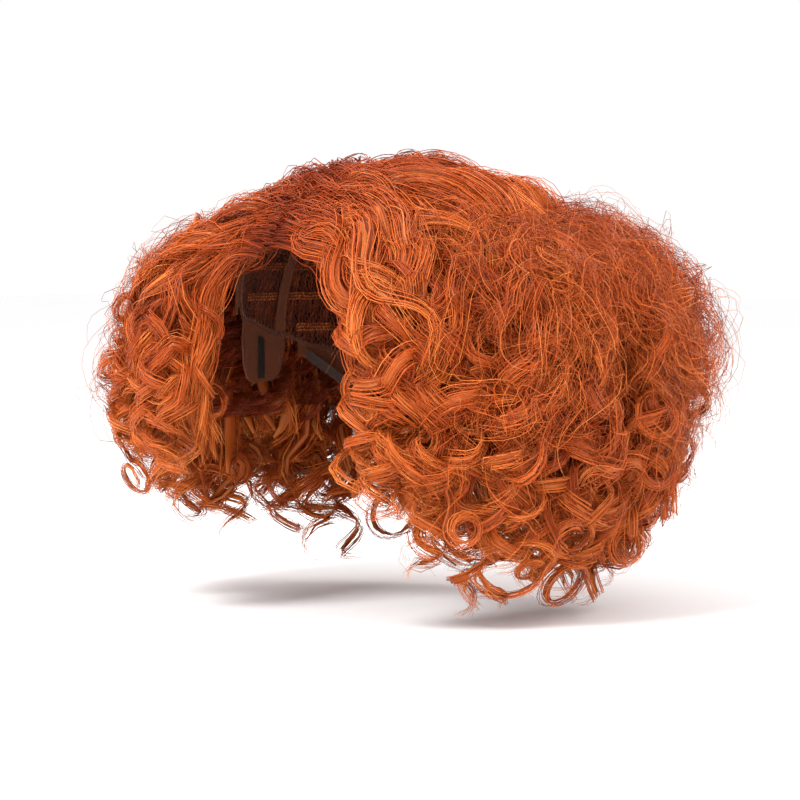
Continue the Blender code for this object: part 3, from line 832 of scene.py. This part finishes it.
def add_curtains(copper):
    """The curls in front of the ears, and the thin tendrils at the edge of the face."""
    ring = dict(RING, depth=(0.55, 0.90))
    for side, word in SIDES:
        seed = 700 + 30 * side
        rng = default_rng(seed)
        face, ear_low = (47, 0.95) if side > 0 else (26, 0.90)
        for zone, first, last, low in (("front", face, 56, 0.91), ("ear", 52, 68, ear_low)):
            turns = sorted((side * first, side * last))
            tips, rings = (low - 0.14, low), (low - 0.04, low + 0.06)
            curtain = Bundle()
            grow(curtain, seed + 1, FILL, fan(rng, 6, turns, (0.46, 0.56), (0.72, low - 0.08), 3))
            grow(curtain, seed + 2, RINGLET, fan(rng, 21, turns, (0.46, 0.66), tips, 4, -4 * side))
            grow(curtain, seed + 4, ring, fan(rng, 6, turns, (0.58, 0.72), rings, 3))
            name = f"hair_curtain_{zone}_{word}"
            nodes = [name]
            if zone == "front":
                edge = sorted((side * (face - 4), side * (face + 2)))
                grow(curtain, seed + 3, TENDRIL, fan(rng, 6, edge, (0.54, 0.62), (0.74, 0.88), 2))
                nodes.append("hair_tendril_" + word)
            finish_piece(name + "_curls", curtain, copper, *nodes)


def copper_hair():
    """Synthetic hair, deep at the root and lighter towards the tip; the dark root is partly painted
    shade, for the shadowed roots and the dark pockets between locks.
    """
    # root to tip: the hair's own tone, deepened towards the root as painted shade for the roots and
    # the pockets between locks
    stops = [
        (0.0, (0.22, 0.018, 0.003)), (0.20, (0.40, 0.050, 0.007)),
        (0.60, (0.61, 0.102, 0.016)), (1.0, (0.76, 0.17, 0.028)),
    ]
    shades = [
        (0.42, 0.30, 0.24), (0.70, 0.62, 0.54), (0.95, 0.95, 0.95), (1.10, 1.22, 1.3),
        (1.26, 1.90, 2.5),
    ]
    return strand_material("copper_hair", stops, 0.38, shades, (1.0, 0.74, 0.50), 0.42)


# ---- the cap ----

# the cap's lower edge: (turn, level), and its layers as distances from the head
NET_EDGE = [
    (0, 0.50), (30, 0.53), (50, 0.70), (70, 0.92),
    (90, 0.98), (110, 1.06), (130, 1.24), (180, 1.28),
]
NET_LIFT = 0.0016
SEAM_GAP = 0.006
BAND_THICK = 0.0009
LINING_THICK = 0.0007
TRACK_LIFT = 0.0030
TRACK_TALL = 0.042

# a strip's rolled edge: the middle and the spread of the roll, and the rows that draw it;
# the least that a sheet may measure, and the angle in degrees from which an edge is drawn sharp
HEM_PLACE = 0.0010
HEM_SPREAD = 0.0009
HEM_ROWS = (0.0, 0.0005, 0.0010, 0.0016, 0.0024)
SHARP_TURN = 50

# the net's threads: how many wind each way, how far they turn on the way down, their width
NET_THREADS = 168
NET_WIND = 58
NET_THREAD_WIDE = 0.00042

# the rows of hair: name, level, the turn that each starts at; the header's threads and first hair
TRACKS = [
    ("nape", 1.38, 120), ("lower_back", 1.20, 130), ("back", 1.08, 120), ("ear_level", 0.96, 100),
    ("upper_back", 0.83, 70), ("high_back", 0.70, 60), ("crown", 0.57, 50), ("top", 0.43, 40),
]
TRACK_RADIUS = 0.086
TRACK_HAIR_GAP = 0.0010
TRACK_HAIR_WIDE = 0.00065
TRACK_THREAD_WIDE = 0.0008

# the bands, in turns and levels
FRONT_BAND_END = 60
FRONT_BAND_TALL = 0.085
NAPE_BAND_START = 100
NAPE_BAND_TALL = (0.10, 0.25)
EAR_TAB_TURN = 80
EAR_TAB_HALF_TURN = 13
EAR_TAB_SIDE = 1.04
EAR_TAB_DROP = 0.25
RIB_WIDE = 0.008
RIB_HEM = 0.00015

# zigzag stitches: the length and the width of the thread in each kind of row
SEAM_STITCH = (0.0030, 0.00040)
BAND_STITCH = (0.0028, 0.00036)
RIB_STITCH = (0.0026, 0.00034)
TAB_STITCH = (0.0022, 0.00035)
WEFT_STITCH = (0.0024, 0.00040)
LABEL_STITCH = (0.0020, 0.00030)
STITCH_OUTSIDE = NET_LIFT + 0.0011
STITCH_INSIDE = NET_LIFT - 0.0001

# the size label, in turns and levels, and the skin top, in metres
LABEL_TURNS = (169, 191)
LABEL_LEVELS = (1.34, 1.50)
LABEL_TALL = 0.0152
LABEL_THICK = 0.0004
SKIN_TOP_X = (-0.033, 0.017)
SKIN_TOP_Y = (-0.064, 0.020)

# the adjusters: the arc inside the nape band, its pockets and the straps
NAPE_ARC_CENTRE = (0.010107, 0.011942)
NAPE_ARC_RADIUS = 0.075132
ADJUSTER_Z = -0.131
ADJUSTER_CLEAR = 0.0007
POCKET_PITCH = 0.008
POCKETS = 4
FIRST_POCKET_TURN = 132
POCKET_TALL = 0.010
POCKET_THICK = 0.0005
POCKET_BULGE = 0.0012
POCKET_SEAM_HALF = 0.0046
STRAP_WIDE = 0.007
STRAP_HALF_THICK = 0.00035
STRAP_RIB = 0.00007
STRAP_GROUPS = 15
STRAP_COLUMNS = 57

THREAD_SECTION = np.array([
    (math.cos(a), math.sin(a)) for a in np.linspace(0, 2 * math.pi, 6, endpoint=False)
])


def wrapped(turn):
    """A turn as the same angle from -180 up to 180."""
    return (turn + 180.0) % 360.0 - 180.0


def from_head(points):
    """The directions of points from the middle of the head."""
    return unit(points - np.array([0.0, 0.0, -CROWN_HEIGHT]))


def cap_point(turn, level, lift):
    """A point a distance out from the head; turn and level are those that the cap is drawn with."""
    dome = CROWN_HEIGHT * (np.cos(level * np.pi / 2) - 1.0)
    height = np.where(level <= 1.0, dome, -CROWN_HEIGHT * level)
    angle = np.radians(wrapped(turn))
    wide = girth(angle, height)
    lean = np.minimum(level, 1.0) * np.pi / 2
    side = lift * np.sin(lean)
    x = (HALF_BREADTH * wide + side) * np.sin(angle)
    y = -(HALF_LENGTH * wide + side) * np.cos(angle)
    return join(x, y, height + lift * np.cos(lean))


def net_level(turn):
    """The level of the net's edge, which eases from one stated turn to the next."""
    at = np.abs(wrapped(turn))
    turns, levels = np.array(NET_EDGE).T
    index = np.clip(np.searchsorted(turns, at) - 1, 0, len(turns) - 2)
    share = smooth_step((at - turns[index]) / (turns[index + 1] - turns[index]))
    return mix(levels[index], levels[index + 1], share)


def cloth(node, ending, place, width, columns, rows, lift, thick, material, hem=0.0003, **facts):
    """A closed strip of cloth: place(across, down) gives turn and level; its edges are rolled."""

    def side(amount):
        turn, level = place(across, down)
        edge = np.minimum(down, 1 - down) * width
        roll = hem * np.exp(-((edge - HEM_PLACE) / HEM_SPREAD) ** 2)
        return cap_point(turn, level, lift + amount + np.where(amount > 0, roll, -roll * 0.5))

    across = np.linspace(0, 1, columns + 1)
    across, down = np.meshgrid(across, cloth_rows(rows, width), indexing="ij")
    cloth_mesh(node, ending, side(thick), side(0.0), material, down, **facts)


def cloth_rows(rows, width):
    """Places down a strip, closer together at its rolled edges."""
    edge = np.array(HEM_ROWS) / width
    middle = np.linspace(edge[-1], 1 - edge[-1], rows + 1)[1:-1]
    return np.concatenate([edge, middle, 1 - edge[::-1]])


def run_lengths(grid, axis):
    """How far along a grid of points each place is, in metres, counted along one axis."""
    steps = np.linalg.norm(np.diff(grid, axis=axis), axis=-1)
    first = np.zeros_like(np.take(steps, [0], axis=axis))
    return np.concatenate([first, np.cumsum(steps, axis=axis)], axis=axis)


def closed_faces(shape):
    """The faces of a closed sheet: a grid of points, and the same grid again on its other side."""
    count = shape[0] * shape[1]
    grid = np.arange(count).reshape(shape)
    top = join(grid[:-1, :-1], grid[:-1, 1:], grid[1:, 1:], grid[1:, :-1]).reshape(-1, 4)
    rim = np.concatenate([grid[0, :], grid[1:, -1], grid[-1, -2::-1], grid[-2:0:-1, 0]])
    after = np.roll(rim, -1)
    walls = join(rim, rim + count, after + count, after)
    return np.concatenate([top, top[:, ::-1] + count, walls])


def cloth_mesh(
    node, ending, outer, inner, material, down=None, slot="ribbon", held="stretched",
    rests_on="cap_net_mesh", stretches=None,
):
    """A closed sheet between two grids of points, in the place of a CAD node.

    Its weave is laid out in metres. One that stretches stays where it is drawn, not attached to the
    cap; the body and the two points that it names are not used.
    """
    if down is None:
        down = np.linspace(0, 1, outer.shape[1])
    across = np.linspace(0, 1, outer.shape[0])[:, None]
    lengths, widths = run_lengths(outer, 0), run_lengths(outer, 1)
    faces = closed_faces(outer.shape[:2])
    layouts = {"OFBake": join(across, down) * 0.98 + 0.01, "cloth": join(lengths, widths)}
    for layer, places in layouts.items():
        layouts[layer] = np.tile(places.reshape(-1, 2), (2, 1))[faces.ravel()]
    points = np.concatenate([outer.reshape(-1, 3), inner.reshape(-1, 3)])
    sizes = np.full(len(faces), 4)
    piece = make_object(node + ending, points, faces.ravel(), sizes, layouts, material)
    piece.data.set_sharp_from_angle(angle=math.radians(SHARP_TURN))
    if stretches is None:
        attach(piece, CAP)
    else:
        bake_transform(piece)
    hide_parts(node)


def thread(bundle, points, wide, seed=0):
    """A sewing thread along points (s, 3)."""
    size = np.full((1, len(points)), wide)
    corners = tubes(points[None], from_head(points)[None], size, size, THREAD_SECTION)
    rng = default_rng(seed)
    bundle.add(corners, rng.integers(CORE_SHADES, SHADES, (1, len(THREAD_SECTION))))


def zigzag(bundle, place, length, stitch, lift, seed=0):
    """A row of zigzag stitches along place(across, swing), swing -1 to 1."""
    pitch, wide = stitch
    count = max(int(length / pitch), 2)
    across = np.linspace(0, 1, 6 * count + 1)
    swing = 2 / np.pi * np.arcsin(np.sin(2 * np.pi * across * count))
    turn, level = place(across, swing)
    sink = 0.0003 * np.abs(swing) ** 3
    thread(bundle, cap_point(turn, level, lift - sink), wide, seed)


def fine_strands(bundle, rng, points, size, thick, along=(0.01, 0.99)):
    """Strands along points (n, s, 3) that face out from the head."""
    columns = rng.integers(CORE_SHADES, SHADES, (len(points), 1))
    corners = tubes(points, from_head(points), size, size * thick, STRAND_SECTION)
    bundle.add(corners, columns, along)


def add_net(brown):
    """The stretch net: two sets of threads that wind down the dome and cross."""
    net = Bundle()
    rng = default_rng(31)
    number = np.arange(NET_THREADS)
    first = np.choose(number % 4, [0.05, 0.34, 0.18, 0.34])[:, None]
    down = first + (1 - first) * np.linspace(0, 1, 44)[None, :]
    for winding, lift in ((1, NET_LIFT + 0.00015), (-1, NET_LIFT + 0.00040)):
        turn = number[:, None] * 360.0 / NET_THREADS + winding * NET_WIND * down
        points = cap_point(turn, down * net_level(turn), lift)
        fine_strands(net, rng, points, np.full(points.shape[:2], NET_THREAD_WIDE), 1.0)
    ring = np.linspace(0, 360, 361)
    edge = net_level(ring)
    for level, wide in (
        (edge - 0.004, 0.0009), (edge + 0.003, 0.0007), (0.05, 0.0007), (0.10, 0.0007),
    ):
        thread(net, cap_point(ring, level, NET_LIFT + 0.0003), wide)
    finish_piece("cap_net_mesh", net, brown, "cap_net", slot="net")


def add_tracks(copper):
    """The wefts: a sewn header, the hair folded over it, and the top of the hair it lets down."""
    for k, (word, level, first) in enumerate(TRACKS):
        track = Bundle()
        rng = default_rng(900 + k)
        last = 360 - first
        length = np.radians(last - first) * TRACK_RADIUS
        along = np.linspace(0, 1, int(length / 0.004))
        for share in (0.2, 0.5, 0.8):
            drop = level + TRACK_TALL * (share - 0.5) + 0.0012 * np.sin(along * 900)
            points = cap_point(mix(first, last, along), drop, TRACK_LIFT + 0.0007)
            thread(track, points, TRACK_THREAD_WIDE, k)
        count = int(length / TRACK_HAIR_GAP)
        turn = mix(first, last, rng.uniform(0.002, 0.998, count))[:, None]
        down = np.linspace(0, 1, 8)[None, :]
        drop = level - 0.024 + spread(rng, (0.16, 0.26), count)[:, None] * down
        lift = TRACK_LIFT + spread(rng, (0.0001, 0.0010), count)[:, None]
        lift = lift + 0.0022 * smooth_step(down * 1.4)
        points = cap_point(turn + rng.normal(0, 2.0, count)[:, None] * down, drop, lift)
        size = np.full(points.shape[:2], TRACK_HAIR_WIDE) * mix(1.0, 0.6, down)
        # this hair takes the root end of the hair colour, whose darkness is partly painted shade
        fine_strands(track, rng, points, size, STRAND_FLAT, (0.01, 0.35))

        def place(across, swing):
            return mix(first, last, across), level + 0.016 * swing

        zigzag(track, place, length, WEFT_STITCH, TRACK_LIFT + 0.0012, k)
        name = "weft_track_" + word
        finish_piece(name + "_hair", track, copper, name, slot="weft_header")


def front_band(across, down):
    turn = mix(-FRONT_BAND_END, FRONT_BAND_END, across)
    return turn, net_level(turn) + SEAM_GAP + FRONT_BAND_TALL * down


def nape_band(across, down):
    turn = mix(NAPE_BAND_START, 360 - NAPE_BAND_START, across)
    tall = mix(*NAPE_BAND_TALL, smooth_step((np.abs(wrapped(turn)) - NAPE_BAND_START) / 30.0))
    level = net_level(turn)
    return turn, mix(level + SEAM_GAP, level + tall, down)


def band_row(band, share):
    """A row of stitches along a band, part of the way down it."""
    def row(across, swing):
        turn, level = band(mix(0.01, 0.99, across), share)
        return turn, level + 0.006 * swing
    return row


def seam_row(across, swing):
    turn = mix(0, 360, across)
    return turn, net_level(turn) + SEAM_GAP * 0.5 + 0.020 * swing


def add_bands(ribbon, stitches):
    """The front band, the ear tabs and the nape band, with their stitching."""
    for node, band, *grid in (
        ("front_band", front_band, 0.0081, 120, 5), ("nape_band", nape_band, 0.021, 150, 10),
    ):
        cloth(node, "_ribbon", band, *grid, NET_LIFT, BAND_THICK, ribbon, held="gathered")
    for side, word in SIDES:

        def tab(across, down):
            turn = EAR_TAB_TURN + EAR_TAB_HALF_TURN * (2 * across - 1)
            rounding = np.sqrt(np.clip(1.0 - (2 * across - 1) ** 4, 0, 1))
            top = net_level(turn) + 2 * SEAM_GAP
            return side * turn, mix(top, EAR_TAB_SIDE + EAR_TAB_DROP * rounding, down)

        def facing_out(across, down):
            return tab(across if side > 0 else 1 - across, down)

        cloth(
            "ear_tab_" + word, "_cloth", facing_out, 0.030, 26, 10, NET_LIFT, BAND_THICK, ribbon,
            held="hung",
        )
        for inset in (0.10, 0.90):

            def edge(across, swing):
                return tab(inset + 0.02 * swing, mix(0.05, 0.93, across))

            for lift in (STITCH_OUTSIDE, STITCH_INSIDE):
                zigzag(stitches, edge, 0.026, TAB_STITCH, lift)
    zigzag(stitches, seam_row, 0.55, SEAM_STITCH, STITCH_OUTSIDE)
    zigzag(stitches, seam_row, 0.55, SEAM_STITCH, STITCH_INSIDE - 0.0001)
    for share in (0.14, 0.86):
        zigzag(stitches, band_row(nape_band, share), 0.235, BAND_STITCH, STITCH_INSIDE)
    zigzag(stitches, band_row(front_band, 0.85), 0.165, BAND_STITCH, STITCH_INSIDE)


def add_lining(ribbon, stitches):
    """The ribs that stiffen the net."""
    ribs = [("center_back", 180, 0.30)]
    for side, word in SIDES:
        ribs += [("side_" + word, side * 90, 0.38), ("back_" + word, side * 135, 0.34)]
    for name, middle, start in ribs:
        end = net_level(np.array([float(middle)]))[0] - SEAM_GAP

        def rib(across, down):
            level = mix(start, end, across)
            here, beside = cap_point(middle, level, 0.0), cap_point(middle + 1.0, level, 0.0)
            turn_width = RIB_WIDE / np.linalg.norm(beside - here, axis=-1)
            return middle - (down - 0.5) * turn_width, level

        cloth("rib_" + name, "_ribbon", rib, RIB_WIDE, 40, 5, 0.0, LINING_THICK, ribbon, RIB_HEM)
        for share in (0.12, 0.88):

            def row(across, swing):
                return rib(across, share + 0.05 * swing)

            zigzag(stitches, row, CROWN_HEIGHT * np.pi / 2 * (end - start), RIB_STITCH, -0.0001)


def add_skin_top():
    """A matte film with the faint grain of moulded skin, under the parting."""
    material = moulded_material(
        "skin_film", "cloth", {"Scale": 700.0, "Detail": 5.0},
        (0.58, 0.36, 0.25), (0.72, 0.48, 0.35), 0.5, 0.0002, 0.55,
    )
    across, down = np.meshgrid(np.linspace(0, 1, 30), np.linspace(1, 0, 50), indexing="ij")
    x, y = mix(*SKIN_TOP_X, across), mix(*SKIN_TOP_Y, down)
    bare = np.sqrt(1.0 - (x / HALF_BREADTH) ** 2 - (y / HALF_LENGTH) ** 2)
    inner = join(x, y, CROWN_HEIGHT * (bare - 1.0))
    slope = inner / np.array([HALF_BREADTH, HALF_LENGTH, CROWN_HEIGHT]) ** 2
    outward = unit(slope + np.array([0, 0, 1 / CROWN_HEIGHT]))
    outer = inner + outward * LINING_THICK
    cloth_mesh("skin_top", "_film", outer, inner, material, slot="skin")


def add_label(stitches):
    """A blank woven satin label, stitched down at both ends."""
    satin = cloth_material(
        "label_satin", (0.62, 0.61, 0.58), (0.84, 0.83, 0.80), 0.0005, 0.00005, 0.4,
    )

    def place(across, down):
        return mix(*LABEL_TURNS, across), mix(*LABEL_LEVELS, down)

    cloth(
        "size_label", "_satin", place, LABEL_TALL, 20, 6, 0.0, LABEL_THICK, satin, 0.00012,
        slot="label", rests_on="nape_band_ribbon",
    )
    for share in (0.05, 0.95):

        def row(across, swing):
            return place(share + 0.02 * swing, mix(0.06, 0.94, across))

        zigzag(stitches, row, 0.013, LABEL_STITCH, -0.00025)


def arc_points(side, along, inset, height):
    """Points on the arc inside the nape band that one side's hook travels along."""
    x, y = -side * NAPE_ARC_CENTRE[0], NAPE_ARC_CENTRE[1]
    first = cap_point(float(side * FIRST_POCKET_TURN), -ADJUSTER_Z / CROWN_HEIGHT, 0.0)
    angle = math.atan2(first[1] - y, first[0] - x) + side * along / NAPE_ARC_RADIUS
    out = NAPE_ARC_RADIUS - inset
    return join(x + out * np.cos(angle), y + out * np.sin(angle), height)


def centre_line(node, groups):
    """The middle line of a thin CAD strip that runs round the nape, as points in order."""
    mesh = bpy.data.objects[node].data
    points = np.empty(len(mesh.vertices) * 3)
    mesh.vertices.foreach_get("co", points)
    points = np.unique(np.round(points.reshape(-1, 3), 6), axis=0)
    order = np.argsort(np.arctan2(points[:, 0], -points[:, 1]))
    return np.array([group.mean(axis=0) for group in np.array_split(points[order], groups)])


def add_strap(word, elastic):
    """The elastic strap, drawn along the middle of the CAD strap."""
    line = centre_line("adjuster_strap_" + word, STRAP_GROUPS)
    steps = np.linspace(0, STRAP_GROUPS - 1, STRAP_COLUMNS)
    middle = join(*[np.interp(steps, np.arange(STRAP_GROUPS), axis) for axis in line.T])
    for _ in range(3):
        middle[1:-1] = (middle[:-2] + 2 * middle[1:-1] + middle[2:]) / 4
    down = STRAP_WIDE * (0.5 - cloth_rows(6, STRAP_WIDE))
    inward = unit(middle * np.array([-1.0, -1.0, 0.0]))[:, None]
    rise = np.array([0, 0, 1.0]) * down[None, :, None]
    half = STRAP_HALF_THICK + STRAP_RIB * np.sin(np.arange(len(steps)) * 2.0)[:, None, None]
    outer = middle[:, None] - inward * half + rise
    inner = middle[:, None] + inward * half + rise
    ends = sorted((line[0], line[-1]), key=lambda end: -abs(end[0]))
    cloth_mesh(
        "adjuster_strap_" + word, "_elastic", outer[::-1], inner[::-1], elastic,
        slot="elastic", rests_on="nape_band_ribbon", stretches=("hook_" + word, *ends),
    )


def add_pockets(side, word, elastic, stitches):
    """The ribbon of pockets, sewn down between one pocket and the next."""
    along = np.linspace(-POCKET_PITCH / 2, (POCKETS - 0.5) * POCKET_PITCH, POCKETS * 14 + 1)
    stand = np.abs(np.cos(np.pi * along / POCKET_PITCH)) ** 0.6
    inset = ADJUSTER_CLEAR + POCKET_THICK + POCKET_BULGE * stand
    heights = ADJUSTER_Z + POCKET_TALL * (0.5 - cloth_rows(6, POCKET_TALL))
    outer, inner = [
        arc_points(side, along[:, None], inset[:, None] + thick, heights)
        for thick in (0, POCKET_THICK)
    ]
    cloth_mesh(
        "pocket_tape_" + word, "_elastic", outer[::side], inner[::side], elastic,
        slot="elastic", held="gathered", rests_on="nape_band_ribbon",
    )
    climb = np.linspace(-POCKET_SEAM_HALF, POCKET_SEAM_HALF, 22)
    waver = 0.0002 * np.sin(climb * 5000)
    for k in range(POCKETS + 1):
        for offset in (-0.0004, 0.0004):
            here = (k - 0.5) * POCKET_PITCH + offset + waver
            points = arc_points(side, here, ADJUSTER_CLEAR + POCKET_BULGE, ADJUSTER_Z + climb)
            thread(stitches, points, 0.0003, k)


def add_plastic():
    """Moulded plastic for the hooks and the ear tabs' stays."""
    material = moulded_material(
        "moulded_plastic", None, {"Scale": 2500.0},
        (0.016, 0.014, 0.013), (0.030, 0.027, 0.025), 0.25, 0.00004, 0.32,
    )
    for _, word in SIDES:
        for node in ("adjuster_hook_" + word, "ear_tab_stay_" + word):
            for spot in bpy.data.objects[node].material_slots:
                spot.material = material


def thread_material(name, root, tip, roughness):
    even = [(0.8, 0.8, 0.8), (1.0, 1.0, 1.0)]
    return strand_material(name, [(0.0, root), (1.0, tip)], roughness, even)


def add_cap(copper):
    brown = thread_material("net_thread", (0.11, 0.036, 0.018), (0.13, 0.042, 0.021), 0.8)
    yarn = thread_material("sewing_thread", (0.16, 0.052, 0.026), (0.18, 0.060, 0.030), 0.7)
    ribbon = cloth_material(
        "ribbon_cloth", (0.085, 0.024, 0.011), (0.20, 0.062, 0.028), 0.0011, 0.00022,
    )
    elastic = cloth_material(
        "elastic_cloth", (0.030, 0.017, 0.013), (0.085, 0.052, 0.042), 0.0009, 0.00025,
    )
    stitches = Bundle()
    add_net(brown)
    add_tracks(copper)
    add_bands(ribbon, stitches)
    add_lining(ribbon, stitches)
    add_skin_top()
    add_label(stitches)
    for side, word in SIDES:
        add_strap(word, elastic)
        add_pockets(side, word, elastic, stitches)
    add_plastic()
    finish_piece("cap_stitching", stitches, yarn, slot="ribbon")


# ---- camera, light and floor ----


def add_camera():
    data = bpy.data.cameras.new("camera")
    data.sensor_width = 36.0
    data.lens = data.sensor_width * VIEW_DISTANCE / VIEW_SPAN
    camera = add_object("camera", data)
    azimuth, elevation = math.radians(VIEW_AZIMUTH), math.radians(VIEW_ELEVATION)
    level = math.cos(elevation)
    away = Vector((math.sin(azimuth) * level, -math.cos(azimuth) * level, math.sin(elevation)))
    camera.location = Vector(VIEW_TARGET) + away * VIEW_DISTANCE
    camera.rotation_euler = away.to_track_quat("Z", "Y").to_euler()
    bpy.context.scene.camera = camera


def add_light(name, place, size, power):
    data = bpy.data.lights.new(name, "AREA")
    data.energy = power
    data.size = size
    light = add_object(name, data)
    light.location = place
    light.rotation_euler = (Vector(place) - Vector(VIEW_TARGET)).to_track_quat("Z", "Y").to_euler()


def add_studio():
    world = bpy.data.worlds.new("studio")
    world.use_nodes = True
    tree = world.node_tree
    feed(tree, tree.nodes["Background"], {"Color": (1.0, 1.0, 1.0, 1.0), "Strength": 1.0})
    bpy.context.scene.world = world
    bpy.context.scene.view_settings.view_transform = "Standard"
    for light in LIGHTS:
        add_light(*light)


def add_floor():
    place = (0, 0, cad_box[0][2] - FLOOR_GAP)
    bpy.ops.mesh.primitive_plane_add(size=FLOOR_SIZE, location=place)
    floor = bpy.context.object
    floor.name = "floor"
    material, tree, shader = new_material("floor")
    feed(tree, shader, {"Base Color": (*FLOOR_COLOUR, 1.0), "Roughness": 0.7})
    floor.data.materials.append(material)


add_camera()
add_studio()
add_floor()
copper = copper_hair()
add_cap(copper)
add_sweeps(copper)
add_crown(copper)
add_body(copper)
add_hem(copper)
add_curtains(copper)
